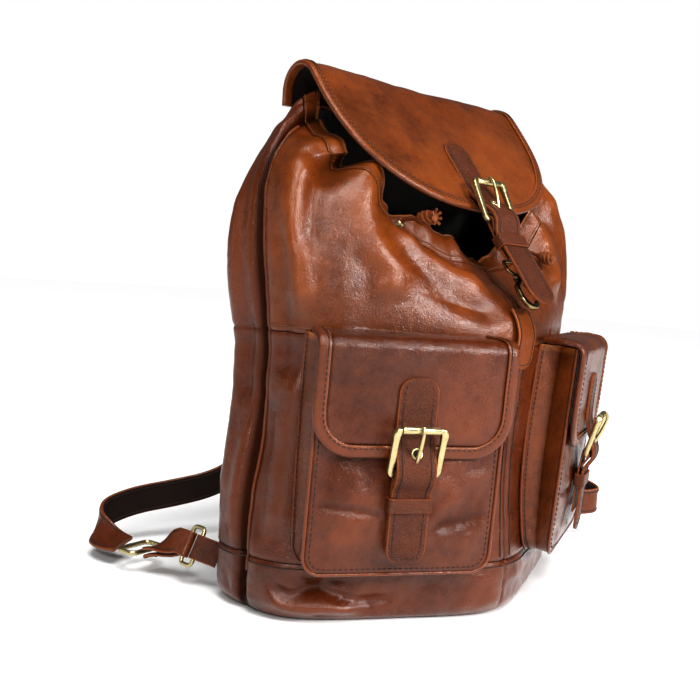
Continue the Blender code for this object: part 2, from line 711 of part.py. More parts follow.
def pocket_crown(y):
    """How far the pocket's front swells, between its foot and the flap's lower edge."""
    return POCKET_CROWN * math.sin(math.pi * min(1.0, (y + 0.004) / (POCKET_H - FLAP_DROP + 0.006)))


def make_pocket(side, sign):
    frame = pocket_frame(sign)
    half = POCKET_W / 2

    # Gusset: a bellows band between the bag's face and the pocket's front
    outline = u_outline(half, POCKET_H, POCKET_CORNER)
    inset = u_outline(half - 0.0018, POCKET_H, POCKET_CORNER - 0.0018)
    inset = [(x, y + (0.0018 if y < POCKET_H / 5 else 0)) for x, y in inset]
    front_z = POCKET_D - POCKET_LEATHER - GAP
    outer, inner = [], []
    for t in (0.0, 0.5, 1.0):
        fold = 0.0016 * math.sin(math.pi * t)
        rows = []
        for path, shrink in ((outline, fold), (inset, fold)):
            row = []
            for x, y in path:
                back = max(wall_depth(frame, x, min(y, 0.158)) + 2 * GAP, -0.02)
                pull = 1 - shrink / half
                row.append(frame @ Vector((x * pull, y + shrink * (1 if y < 0.02 else 0),
                                           back + (front_z - back) * t)))
            rows.append(row)
        outer.append(rows[0])
        inner.append(rows[1])
    verts, faces = slab(outer, inner)
    add_object("pocket_gusset_" + side, verts, faces, "russet_leather")

    # Front: a gently crowned plate with round lower corners
    columns = [math.sin(math.radians(a)) for a in (-90, -66, -42, -20, 0, 20, 42, 66, 90)]
    outer, inner = [], []
    for y in (0.0, 0.0022, 0.007, POCKET_CORNER, 0.030, 0.048, 0.066, 0.0865, 0.120, POCKET_H):
        if y < POCKET_CORNER:
            edge = half - POCKET_CORNER + math.sqrt(POCKET_CORNER ** 2 - (POCKET_CORNER - y) ** 2)
        else:
            edge = half
        crown = pocket_crown(y)
        outer.append([frame @ Vector((c * edge, y, POCKET_D + crown * (1 - c ** 4))) for c in columns])
        inner.append([frame @ Vector((c * edge, y, POCKET_D - POCKET_LEATHER + crown * (1 - c ** 4)))
                      for c in columns])
    verts, faces = slab(outer, inner)
    add_object("pocket_front_" + side, verts, faces, "russet_leather")

    # Magnetic snap: the socket on the pocket, the stud under the flap
    snap_y = POCKET_H - FLAP_DROP + 0.016
    socket_top = POCKET_D + FLAP_OVER - 0.0016
    make_disc("magnet_socket_" + side, frame, (0, snap_y, POCKET_D + GAP), socket_top - POCKET_D - GAP, 0.0080)
    make_pocket_flap(side, frame, snap_y)


def make_disc(name, frame, centre, height, radius):
    base = Vector(centre)
    points = [frame @ (base + Vector((0, 0, height * k))) for k in (0, 1)]
    wide = frame.to_3x3() @ Vector((1, 0, 0))
    verts, faces = sweep(points, [wide] * 2, radius, radius, 20)
    add_object(name, verts, faces, "steel")


def flap_hinge(frame):
    """Where a pocket flap bends off the bag: the highest the bag's face stands along the flap's root."""
    y = POCKET_H + 0.0030
    return max(wall_depth(frame, x, min(y, 0.160)) for x in spread(-0.06, 0.06, 12)) + 0.0022, y


def make_pocket_flap(side, frame, snap_y):
    prefix = "pocket_" + side
    root_z, root_y = flap_hinge(frame)
    hinge = frame @ Vector((0, root_y, root_z))
    top_z = POCKET_D + FLAP_OVER + FLAP_LEATHER
    bend = 0.009
    profile = [(root_y + FLAP_LEATHER / 2, root_z), (root_y + FLAP_LEATHER / 2 + 0.0006, (root_z + top_z) / 2)]
    for k in range(5):
        t = math.radians(90 - 22.5 * k)
        profile.append((root_y + FLAP_LEATHER / 2 - bend + bend * math.sin(t), top_z - bend + bend * math.cos(t)))
    end = POCKET_H - FLAP_DROP
    for k in range(1, 4):
        profile.append((root_y - bend + (end + FLAP_CORNER - root_y + bend) * k / 4, top_z))
    for angle in (0, 20, 40, 58, 74, 90):
        profile.append((end + FLAP_CORNER * (1 - math.sin(math.radians(angle))), top_z))
    columns = [math.sin(math.radians(a)) for a in (-90, -62, -36, -12, 12, 36, 62, 90)]
    outer = []
    for y, z in profile:
        low = max(0.0, end + FLAP_CORNER - y)
        edge = FLAP_W / 2 - FLAP_CORNER + math.sqrt(max(0.0, FLAP_CORNER ** 2 - low ** 2))
        if z < top_z - bend:
            edge = FLAP_W / 2 - 0.004
        outer.append([frame @ Vector((c * edge, y, z)) for c in columns])
    outer = outer[::-1]
    verts, faces = slab(outer, offset_grid(outer, -FLAP_LEATHER))
    add_object(prefix + "_flap", verts, faces, "russet_leather", hinge)

    under = POCKET_D + FLAP_OVER - 0.0016 + 2 * GAP
    make_disc("magnet_stud_" + side, frame, (0, snap_y, under), POCKET_D + FLAP_OVER - GAP - under, 0.0070)
    strap = frame @ Matrix.Translation((0, end - 0.010, top_z))
    make_buckled_strap(prefix, strap, 0.066, -0.064, -0.048, -0.0215)


# ---------------------------------------------------------------- main flap
def main_frame():
    """Placing of the main flap's slope: x across, y up the slope, z out; the origin is the fold line."""
    down = Vector((0, -math.cos(MAIN_SLOPE), -math.sin(MAIN_SLOPE)))
    up = -down
    out = Vector((1, 0, 0)).cross(up)
    return Matrix.Translation(MAIN_FOLD) @ Matrix((Vector((1, 0, 0)), up, out)).transposed().to_4x4()


def flap_half_width(distance):
    """Half width of the main flap at this distance down its slope."""
    straight = 0.030
    t = max(0.0, (distance - straight) / (MAIN_LENGTH - straight))
    return MAIN_HALF * (1 - min(t, 0.9995) ** 2.3) ** (1 / 2.3)


def make_main_flap():
    frame = main_frame()
    hinge = Vector((0, MAIN_HINGE_Y, MAIN_HINGE_Z))
    outer_y = MAIN_HINGE_Y + FLAP_LEATHER / 2
    # Side view: up from the hinge, a round fold, then the slope
    profile = [(outer_y, MAIN_HINGE_Z), (outer_y, MAIN_HINGE_Z + 0.008)]
    radius = 0.022
    slope_up = frame.to_3x3() @ Vector((0, 1, 0))
    slope_out = frame.to_3x3() @ Vector((0, 0, 1))
    centre_y = outer_y - radius
    centre_z = MAIN_FOLD.z - (radius + slope_out.y * (centre_y - MAIN_FOLD.y)) / slope_out.z
    centre = Vector((0, centre_y, centre_z))
    sweep_angle = math.degrees(math.atan2(slope_out.z, slope_out.y))
    for k in range(7):
        t = math.radians(sweep_angle * k / 6)
        profile.append((centre.y + radius * math.cos(t), centre.z + radius * math.sin(t)))
    start = (MAIN_FOLD - Vector((0, profile[-1][0], profile[-1][1]))).dot(slope_up)
    widths = [MAIN_HALF - 0.006] * 2 + [MAIN_HALF - 0.004 + 0.003 * k / 6 for k in range(7)]
    for t in (0.12, 0.30, 0.46, 0.60, 0.72, 0.82, 0.90, 0.955, 0.985, 1.0):
        distance = start + (MAIN_LENGTH - start) * t
        p = frame @ Vector((0, -distance, 0))
        profile.append((p.y, p.z))
        widths.append(flap_half_width(distance))
    columns = [math.sin(math.radians(a)) for a in range(-90, 91, 18)]
    outer = [[Vector((c * w, y, z)) for c in columns] for (y, z), w in zip(profile, widths)]
    outer = outer[::-1]
    verts, faces = slab(outer, offset_grid(outer, -FLAP_LEATHER))
    add_object("main_flap", verts, faces, "tan_leather", hinge)
    strap = frame @ Matrix.Translation((0, -0.1465, 0))
    make_buckled_strap("main", strap, 0.081, -0.0755, -0.034, -0.0195)
    make_clip(strap)


def make_clip(strap):
    """Snap hook under the main billet: an eye bar, a swivel post, an open hook and its gate."""
    wide = strap.to_3x3() @ Vector((1, 0, 0))
    depth = -0.0062
    bar_y = -0.030
    line = []
    for x, y in ((0.0070, bar_y), (-0.0070, bar_y), (-0.0070, bar_y - 0.0080), (-0.0022, bar_y - 0.0120)):
        line.append((x, y))
    line += [(0.0022, bar_y - 0.0120), (0.0070, bar_y - 0.0080)]
    out = strap.to_3x3() @ Vector((0, 0, 1))
    loop = [strap @ Vector((x, y, depth)) for x, y in line]
    swivel = strap @ Vector((0, bar_y, depth))
    verts, faces = sweep(loop, [out] * len(loop), 0.0013, 0.0013, 8, closed=True)
    add_object("clip_eye", verts, faces, "dark_brass", swivel)

    hook = [(0.0, bar_y - 0.0137), (0.0, bar_y - 0.0170), (-0.0030, bar_y - 0.0200), (-0.0068, bar_y - 0.0235),
            (-0.0080, bar_y - 0.0290), (-0.0076, bar_y - 0.0350), (-0.0045, bar_y - 0.0400),
            (0.0, bar_y - 0.0415), (0.0045, bar_y - 0.0400), (0.0070, bar_y - 0.0365)]
    points = [strap @ Vector((x, y, depth)) for x, y in hook]
    radii = [0.0030, 0.0028, 0.0021, 0.0019, 0.0019, 0.0019, 0.0020, 0.0020, 0.0018, 0.0015]
    verts, faces = sweep(points, [out] * len(points), radii, radii, 10)
    add_object("clip_hook", verts, faces, "dark_brass", points[0])

    gate_pin = Vector((0.0035, bar_y - 0.0200, depth))
    gate = [gate_pin, Vector((0.0058, bar_y - 0.0250, depth)), Vector((0.0074, bar_y - 0.0300, depth)),
            Vector((0.0078, bar_y - 0.0340, depth))]
    points = [strap @ p for p in gate]
    verts, faces = sweep(points, [out] * len(points), 0.0012, 0.0009, 8)
    add_object("clip_gate", verts, faces, "dark_brass", points[0])


def make_clip_tab():
    """Leather tab at the top of the centre seam, where the snap hook goes."""
    points = []
    for z in (0.188, 0.196, 0.2048):
        points.append(plan_point(-math.pi / 2, z) + Vector((0, -0.0014 - GAP, 0)))
    for v in (0.10, 0.20, 0.30, 0.38):
        turn = -math.pi / 2
        points.append(skin(turn, v) + skin_normal(turn, v) * (0.0014 + GAP))
    points = points[::-1]
    points, across, widths = round_end(points, [Vector((1, 0, 0))] * len(points), 0.0100, 0.009)
    verts, faces = sweep(points, across, widths, 0.0009)
    add_object("clip_tab", verts, faces, "tan_leather")


# ---------------------------------------------------------------- back: yoke, handle, straps
def make_plate(name, half_w, low_z, high_z, slot, thickness=0.0022):
    """A patch lying on the back panel."""
    columns = spread(-1.0, 1.0, 8)
    outer = []
    for z in spread(low_z, high_z, 4):
        row = []
        for c in columns:
            row.append(Vector((c * half_w, 0.0640 + GAP + thickness + 0.0002, z)))
        outer.append(row[::-1])
    verts, faces = slab(outer, offset_grid(outer, -thickness))
    add_object(name, verts, faces, slot)


def make_handle():
    pivot_y, pivot_z = 0.0722, 0.356
    line = [(-0.034, pivot_y, pivot_z), (-0.0345, pivot_y + 0.006, pivot_z - 0.001),
            (-0.033, 0.086, 0.351), (-0.022, 0.097, 0.345), (0.0, 0.101, 0.342)]
    line += [(-x, y, z) for x, y, z in line[-2::-1]]
    points = smooth_route(line, 3)
    verts, faces = sweep(points, [Vector((0, 0, 1))] * len(points), 0.0042, 0.0042, 10)
    add_object("grab_handle", verts, faces, "russet_leather", (0, pivot_y, pivot_z))


def make_strap(side, sign, route, across, ring_centre, adjuster):
    swing_top = Vector((sign * SWING_TOP.x, SWING_TOP.y, SWING_TOP.z))
    axis = (swing_top - ring_centre).normalized()

    # The root is sewn into the yoke; the strap hangs from it
    points = [Vector((sign * x, y, z)) for x, y, z in
              ((0.030, 0.0690, 0.338), (0.0303, 0.0705, 0.325), (0.0310, 0.0770, 0.311), (0.0318, 0.0852, 0.299),
               (0.0320, 0.0885, 0.2915))]
    verts, faces = sweep(points, [Vector((1, 0, 0))] * len(points), SHOULDER_W / 2, SHOULDER_T / 2)
    add_object("strap_root_" + side, verts, faces, "russet_leather")

    points = smooth_route(route, 3)
    wide = smooth_route(across, 3)
    verts, faces = sweep(points, wide, SHOULDER_W / 2, SHOULDER_T / 2)
    add_object("shoulder_strap_" + side, verts, faces, "russet_leather", swing_top)

    # Base ring: a rectangle whose inner bar lies on the line that the strap swings about
    outward = adjuster - ring_centre
    outward = (outward - axis * outward.dot(axis)).normalized()
    corner = 0.0034
    loop = []
    low, high = -RING_LONG / 2, RING_LONG / 2
    for cu, cv, start in ((RING_SHORT - corner, high - corner, 0), (corner, high - corner, 90),
                          (corner, low + corner, 180), (RING_SHORT - corner, low + corner, 270)):
        for k in range(4):
            t = math.radians(start + 30 * k)
            loop.append(ring_centre + outward * (cu + corner * math.cos(t)) + axis * (cv + corner * math.sin(t)))
    normal = outward.cross(axis)
    verts, faces = sweep(loop, [normal] * len(loop), RING_R, RING_R, 8, closed=True)
    add_object("base_ring_" + side, verts, faces, "antique_brass", ring_centre)

    # Tab that holds the ring's inner bar to the base corner
    body_side = Vector((sign * 0.1440, 0.0610, ring_centre.z)) - ring_centre
    body_side = (body_side - axis * body_side.dot(axis)).normalized()
    cross = axis.cross(body_side)
    radius = RING_R + 0.0005 + 0.0009
    points = []
    for degrees in range(100, -101, -25):
        t = math.radians(180 - degrees)
        points.append(ring_centre + body_side * radius * math.cos(t) + cross * radius * math.sin(t))
    tail_end = find_wall(points[-1], body_side)
    points.append(points[-1] + (tail_end - points[-1]) * 0.5)
    points.append(tail_end)
    verts, faces = sweep(points, [axis] * len(points), 0.0095, 0.0009)
    add_object("base_tab_" + side, verts, faces, "strap_leather")

    make_lower_strap(side, adjuster, ring_centre, outward, axis)
    make_adjuster(side, adjuster, (adjuster - ring_centre).normalized())


def find_wall(start, direction):
    """Walks from start until a strap's thickness short of the bag's outer face."""
    step, distance = 0.0005, 0.0
    while distance < 0.05:
        ahead = start + direction * (distance + 0.0022)
        if inside_body(ahead) < 1.0:
            break
        distance += step
    return start + direction * distance


def make_lower_strap(side, adjuster, ring_centre, outward, axis):
    """A doubled strap from the adjuster, round the ring's outer bar and back."""
    bar = ring_centre + outward * RING_SHORT
    toward = adjuster - bar
    toward = (toward - axis * toward.dot(axis)).normalized()
    cross = axis.cross(toward)
    radius = RING_R + 0.0004 + LOWER_T / 2
    flat = Vector((toward.y, -toward.x, 0)).normalized()
    up = Vector((0, 0, 1))
    level = Vector((toward.x, toward.y, 0)).normalized()
    start = adjuster - level * 0.0135
    legs = []
    for sign in (1, -1):
        near = bar + cross * radius * sign
        far = start + up * 0.0034 * sign
        knee = near + toward * 0.009
        legs.append([far.lerp(knee, k / 6) for k in range(7)] + [near])
    turn = []
    for degrees in (60, 30, 0, -30, -60):
        t = math.radians(degrees)
        turn.append(bar - toward * radius * math.cos(t) + cross * radius * math.sin(t))
    path = legs[0] + turn + legs[1][::-1]
    blend = [k / 6 for k in range(7)] + [1.0]
    wide_at_far = flat if flat.dot(axis) >= 0 else -flat
    wides = [wide_at_far.lerp(axis, b * b * (3 - 2 * b)) for b in blend]
    across = wides + [axis] * 5 + wides[::-1]
    verts, faces = sweep(path, across, 0.0100, LOWER_T / 2)
    add_object("lower_strap_" + side, verts, faces, "russet_leather", ring_centre)


def make_adjuster(side, centre, toward):
    """Strap slide: a rounded rectangle lying between the shoulder strap and the lower strap."""
    along = Vector((toward.x, toward.y, 0)).normalized()
    wide = Vector((along.y, -along.x, 0))
    up = Vector((0, 0, 1))
    half_w, half_l, corner = 0.0165, 0.0085, 0.0050
    loop = []
    for cx, cy, start in ((half_w - corner, half_l - corner, 0), (corner - half_w, half_l - corner, 90),
                          (corner - half_w, corner - half_l, 180), (half_w - corner, corner - half_l, 270)):
        for k in range(4):
            t = math.radians(start + 30 * k)
            loop.append(centre + wide * (cx + corner * math.cos(t)) + along * (cy + corner * math.sin(t)))
    verts, faces = sweep(loop, [up] * len(loop), 0.0020, 0.0017, 8, closed=True)
    add_object("strap_adjuster_" + side, verts, faces, "antique_brass", centre)


def main():
    for obj in list(bpy.data.objects):
        bpy.data.objects.remove(obj, do_unlink=True)
    collar = make_body()
    make_drawcord(collar)
    for side, sign in (("left", -1), ("right", 1)):
        make_pocket(side, sign)
    make_main_flap()
    make_clip_tab()
    make_plate("strap_yoke", 0.048, 0.300, 0.364, "strap_leather")
    make_handle()
    make_strap("left", -1, LEFT_ROUTE, LEFT_ACROSS, LEFT_RING, LEFT_ADJUSTER)
    make_strap("right", 1, RIGHT_ROUTE, RIGHT_ACROSS, RIGHT_RING, RIGHT_ADJUSTER)


main()
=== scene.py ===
"""The looks of the leather drawstring backpack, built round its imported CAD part.

Metres, +Z up, -Y is the front. Each soft piece is a fine mesh on the same surfaces as its CAD node.
"""

import math

import bpy
import numpy as np
from mathutils import Matrix, Vector


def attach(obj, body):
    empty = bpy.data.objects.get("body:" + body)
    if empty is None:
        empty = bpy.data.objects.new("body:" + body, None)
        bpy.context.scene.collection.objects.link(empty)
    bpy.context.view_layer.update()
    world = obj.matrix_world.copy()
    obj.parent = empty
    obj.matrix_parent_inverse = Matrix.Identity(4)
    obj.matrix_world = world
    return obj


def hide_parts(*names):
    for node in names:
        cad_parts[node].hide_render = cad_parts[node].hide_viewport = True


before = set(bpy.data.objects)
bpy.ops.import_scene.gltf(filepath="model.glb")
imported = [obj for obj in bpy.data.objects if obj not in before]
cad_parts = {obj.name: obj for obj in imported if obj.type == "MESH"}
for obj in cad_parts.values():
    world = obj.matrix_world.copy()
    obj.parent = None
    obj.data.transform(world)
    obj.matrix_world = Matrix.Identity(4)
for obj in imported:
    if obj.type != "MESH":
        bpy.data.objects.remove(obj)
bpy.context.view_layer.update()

# ---------------------------------------------------------------- driving dimensions, as in the CAD part
SEAM_Z, BASE_Z = 0.205, 0.0430
SIDE_SEAM = math.radians(12)
CENTRE = -math.pi / 2
CORNER_POWER = 8
FRONT_ANGLE = math.radians(25.6)
STATIONS = np.array((
    (0.000, 0.080, 0.150, 0.056), (0.004, 0.0865, 0.158, 0.061), (0.014, 0.091, 0.164, 0.064),
    (0.043, 0.0915, 0.165, 0.064), (0.085, 0.0865, 0.163, 0.064), (0.130, 0.0855, 0.159, 0.064),
    (0.190, 0.0890, 0.157, 0.064), (0.205, 0.0905, 0.159, 0.064)))
NECK_X, NECK_Y, NECK_DEPTH = 0.108, 0.013, 0.047
NECK_Z, NECK_RISE, NECK_SAG = 0.355, 0.0615, 0.0315
HEM_HEIGHT, LEATHER, HEM_T = 0.015, 0.0024, 0.0040
LINING_INSETS = (0.0058, 0.0066)
PIPING_R, SEAM_OFFSETS = 0.0015, (0.0028, -0.0028)
POCKET_W, POCKET_H, POCKET_D, POCKET_CORNER = 0.139, 0.162, 0.0265, 0.014
POCKET_FOOT, POCKET_LEAN = (0.0885, -0.052, 0.0448), math.radians(2.8)
FLAP_OVER, FLAP_W, FLAP_DROP, FLAP_CORNER, FLAP_T = 0.0033, 0.146, 0.078, 0.030, 0.0024
MAIN_HINGE_Y, MAIN_HINGE_Z = 0.0670, 0.372
MAIN_FOLD, MAIN_SLOPE = np.array((0.0, 0.038, 0.405)), math.radians(49.6)
MAIN_LENGTH, MAIN_HALF = 0.1327, 0.121
STRAP_W, BILLET_T, CHAPE_T, KEEPER_T = 0.0290, 0.0022, 0.0015, 0.0014
BAR_R, BAR_Z, FRAME_HALF, FRAME_LEN, FRAME_TILT = 0.0016, 0.0052, 0.0172, 0.0330, math.radians(12)
ROLLER_R, PRONG_R, AXLE_R, RING_CORNER = 0.0027, 0.0011, 0.0014, 0.0034
GAP = 0.0003
BAG = "bag"


# ---------------------------------------------------------------- arrays of points
def unit(a):
    return a / np.maximum(np.linalg.norm(a, axis=-1, keepdims=True), 1e-12)


def smoothstep(x):
    x = np.clip(x, 0.0, 1.0)
    return x * x * (3 - 2 * x)


def noise(p, size, seed=0.0):
    """Smooth value noise from -1 to 1; size is the distance between its lattice points."""
    q = np.asarray(p) / size + seed * 17.13
    cell = np.floor(q)
    f = q - cell
    f = f * f * f * (f * (f * 6 - 15) + 10)
    total = 0.0
    for corner in range(8):
        step = np.array((corner & 1, corner >> 1 & 1, corner >> 2), float)
        n = cell + step
        h = np.sin(n @ np.array((127.1, 311.7, 74.7)) + seed) * 43758.5453
        weight = np.prod(np.where(step > 0, f, 1 - f), axis=-1)
        total = total + weight * (h - np.floor(h))
    return total * 2 - 1


def cloud(p, size, seed=0.0):
    """Three octaves of noise."""
    return sum(noise(p, size / 2 ** k, seed + k) / 2 ** k for k in range(3)) / 1.6


def catmull(points, per_span):
    points = np.asarray(points, float)
    ends = np.vstack((points[:1], points, points[-1:]))
    out = []
    for i in range(len(points) - 1):
        p0, p1, p2, p3 = ends[i:i + 4]
        t = np.arange(per_span)[:, None] / per_span
        out.append(0.5 * (2 * p1 + (p2 - p0) * t + (2 * p0 - 5 * p1 + 4 * p2 - p3) * t ** 2
                          + (3 * p1 - p0 - 3 * p2 + p3) * t ** 3))
    return np.vstack(out + [points[-1:]])


def lengths(points):
    return np.concatenate(([0.0], np.cumsum(np.linalg.norm(np.diff(points, axis=0), axis=1))))


def resample(points, step):
    """Points a step apart along a polyline."""
    points = np.asarray(points, float)
    run = lengths(points)
    at = np.linspace(0, run[-1], max(2, int(round(run[-1] / step)) + 1))
    return np.stack([np.interp(at, run, points[:, k]) for k in range(points.shape[1])], axis=1)


def tangents(points, closed=False):
    if closed:
        return unit(np.roll(points, -1, axis=0) - np.roll(points, 1, axis=0))
    return unit(np.gradient(points, axis=0))


def at_frame(matrix, points):
    """World points of points given in a 4 x 4 placing."""
    m = np.array(matrix)
    return np.asarray(points, float) @ m[:3, :3].T + m[:3, 3]


def turned(matrix, vector):
    return np.array(matrix)[:3, :3] @ np.asarray(vector, float)


# ---------------------------------------------------------------- materials
def mat_nodes(name):
    mat = bpy.data.materials.new(name)
    mat.use_nodes = True
    tree = mat.node_tree
    return mat, tree, tree.nodes["Principled BSDF"]


class Graph:
    """Short names for the shader nodes that the materials share."""

    def __init__(self, name):
        self.mat, self.tree, self.shader = mat_nodes(name)
        self.place = self.tree.nodes.new("ShaderNodeTexCoord").outputs["Object"]

    def link(self, start, end):
        self.tree.links.new(start, end)

    def noise(self, scale, detail=3.0, roughness=0.55, distortion=0.0):
        node = self.tree.nodes.new("ShaderNodeTexNoise")
        node.inputs["Scale"].default_value = scale
        node.inputs["Detail"].default_value = detail
        node.inputs["Roughness"].default_value = roughness
        node.inputs["Distortion"].default_value = distortion
        self.link(self.place, node.inputs["Vector"])
        return node.outputs["Fac"]

    def cells(self, scale, feature="F1", randomness=1.0, warp=0.0):
        node = self.tree.nodes.new("ShaderNodeTexVoronoi")
        node.feature = feature
        node.inputs["Scale"].default_value = scale
        node.inputs["Randomness"].default_value = randomness
        source = self.place
        if warp:
            swirl = self.tree.nodes.new("ShaderNodeTexNoise")
            swirl.inputs["Scale"].default_value = scale * 0.35
            self.link(self.place, swirl.inputs["Vector"])
            mix = self.tree.nodes.new("ShaderNodeVectorMath")
            mix.operation = "MULTIPLY_ADD"
            mix.inputs[1].default_value = (warp,) * 3
            self.link(swirl.outputs["Color"], mix.inputs[0])
            self.link(self.place, mix.inputs[2])
            source = mix.outputs[0]
        self.link(source, node.inputs["Vector"])
        return node.outputs["Distance"]

    def attribute(self, name):
        node = self.tree.nodes.new("ShaderNodeAttribute")
        node.attribute_name = name
        return node.outputs["Fac"]

    def span(self, value, low, high, to_low=0.0, to_high=1.0):
        node = self.tree.nodes.new("ShaderNodeMapRange")
        for key, number in (("From Min", low), ("From Max", high), ("To Min", to_low), ("To Max", to_high)):
            node.inputs[key].default_value = number
        self.link(value, node.inputs["Value"])
        return node.outputs["Result"]

    def math(self, operation, a, b):
        node = self.tree.nodes.new("ShaderNodeMath")
        node.operation = operation
        for socket, value in zip(node.inputs, (a, b)):
            if isinstance(value, (int, float)):
                socket.default_value = value
            else:
                self.link(value, socket)
        return node.outputs[0]

    def mix(self, factor, a, b):
        node = self.tree.nodes.new("ShaderNodeMix")
        node.data_type = "RGBA"
        for socket, value in ((node.inputs[0], factor), (node.inputs[6], a), (node.inputs[7], b)):
            if isinstance(value, (int, float)):
                socket.default_value = value
            elif isinstance(value, tuple):
                socket.default_value = (*value, 1.0)
            else:
                self.link(value, socket)
        return node.outputs[2]

    def bump(self, height, strength, distance, below=None):
        node = self.tree.nodes.new("ShaderNodeBump")
        node.inputs["Strength"].default_value = strength
        node.inputs["Distance"].default_value = distance
        self.link(height, node.inputs["Height"])
        if below is not None:
            self.link(below, node.inputs["Normal"])
        return node.outputs["Normal"]


def leather(name, base, dark_tone_and_shade, pale_and_highlight, raw, gloss=0.30, grain=0.55, creases=0.55, coat=0.50):
    """Pull-up leather: patchy colour, paler on ridges and bends (wear), which is part pull-up lightening and part
    painted highlight, darker in folds, seams and hollows (dark), which is mostly painted shade, raw cut edges (edge).
    """
    g = Graph(name)
    patches = g.span(g.noise(13.0, 4.0, 0.6, 0.5), 0.36, 0.64)
    fine = g.span(g.noise(120.0, 4.0, 0.65), 0.30, 0.72)
    speckle = g.span(g.noise(900.0, 2.0, 0.5), 0.35, 0.68)
    colour = g.mix(g.math("MULTIPLY", patches, 0.75), base, dark_tone_and_shade)
    colour = g.mix(g.math("MULTIPLY", fine, 0.30), colour, pale_and_highlight)
    colour = g.mix(g.math("MULTIPLY", speckle, 0.22), colour, dark_tone_and_shade)
    # Paler towards the pale colour by the wear mark: pull-up lightening where the leather bends, and painted highlight
    # on ridges and bulges
    colour = g.mix(g.math("MULTIPLY", g.attribute("wear_and_highlight"), 0.55), colour, pale_and_highlight)
    # Darker by the dark mark towards a near-black of the dark colour: painted shade in creases, seams, hollows and on
    # inner faces, and on straps a darker random tone
    colour = g.mix(g.math("MULTIPLY", g.attribute("dark_tone_and_shade"), 0.85), colour, tuple(c * 0.22 for c in dark_tone_and_shade))
    colour = g.mix(g.attribute("edge"), colour, raw)
    g.link(colour, g.shader.inputs["Base Color"])
    rough = g.math("ADD", g.span(g.noise(60.0, 4.0, 0.7), 0.3, 0.7, gloss - 0.07, gloss + 0.10),
                   g.math("MULTIPLY", g.attribute("edge"), 0.35))
    g.link(rough, g.shader.inputs["Roughness"])
    # Specular and coat are turned down where the dark mark is high, so reflections do not lift the painted shade
    gloss_outside_shade = g.span(g.attribute("dark_tone_and_shade"), 0.0, 0.8, 1.0, 0.1)
    g.link(g.math("MULTIPLY", gloss_outside_shade, 0.22), g.shader.inputs["Specular IOR Level"])
    g.link(g.math("MULTIPLY", gloss_outside_shade, coat), g.shader.inputs["Coat Weight"])
    g.shader.inputs["Coat Roughness"].default_value = 0.16
    g.shader.inputs["Coat IOR"].default_value = 1.45
    wrinkle = g.span(g.cells(85.0, "DISTANCE_TO_EDGE", 1.0, 0.006), 0.0, 0.10)
    fold = g.noise(55.0, 5.0, 0.62, 1.2)
    pebble = g.cells(1300.0, "F1", 1.0)
    ripple = g.noise(760.0, 3.0, 0.6)
    normal = g.bump(fold, creases * 0.5, 0.0016)
    normal = g.bump(wrinkle, creases * 0.22, 0.0004, normal)
    normal = g.bump(ripple, grain, 0.00045, normal)
    normal = g.bump(pebble, grain * 0.8, 0.00028, normal)
    g.link(normal, g.shader.inputs["Normal"])
    g.link(normal, g.shader.inputs["Coat Normal"])
    return g.mat


def brass(name, colour, tarnish, rough=0.26):
    g = Graph(name)
    patches = g.span(g.noise(220.0, 5.0, 0.65, 0.5), 0.38, 0.68)
    specks = g.span(g.noise(1500.0, 3.0, 0.6), 0.45, 0.62)
    tone = g.mix(g.math("MULTIPLY", patches, 0.32), colour, tarnish)
    tone = g.mix(g.math("MULTIPLY", specks, 0.18), tone, tuple(c * 0.5 for c in tarnish))
    g.link(tone, g.shader.inputs["Base Color"])
    g.shader.inputs["Metallic"].default_value = 1.0
    g.link(g.span(g.noise(400.0, 4.0, 0.7), 0.3, 0.7, rough - 0.05, rough + 0.10), g.shader.inputs["Roughness"])
    g.link(g.bump(g.noise(500.0, 3.0, 0.6), 0.07, 0.0003), g.shader.inputs["Normal"])
    return g.mat


def cloth(name, colour):
    g = Graph(name)
    wave = g.tree.nodes.new("ShaderNodeTexWave")
    wave.bands_direction = "DIAGONAL"
    wave.inputs["Scale"].default_value = 500.0
    wave.inputs["Distortion"].default_value = 0.6
    g.link(g.place, wave.inputs["Vector"])
    g.link(g.mix(wave.outputs["Fac"], colour, tuple(c * 1.8 for c in colour)), g.shader.inputs["Base Color"])
    g.link(g.span(g.noise(90.0), 0.3, 0.7, 0.80, 0.95), g.shader.inputs["Roughness"])
    g.link(g.bump(wave.outputs["Fac"], 0.4, 0.0003), g.shader.inputs["Normal"])
    return g.mat


def thread(name, colour):
    g = Graph(name)
    g.link(g.mix(g.noise(900.0, 2.0), colour, tuple(c * 0.45 for c in colour)), g.shader.inputs["Base Color"])
    g.link(g.span(g.noise(1200.0), 0.3, 0.7, 0.55, 0.8), g.shader.inputs["Roughness"])
    g.link(g.bump(g.noise(2600.0, 2.0), 0.6, 0.0002), g.shader.inputs["Normal"])
    return g.mat


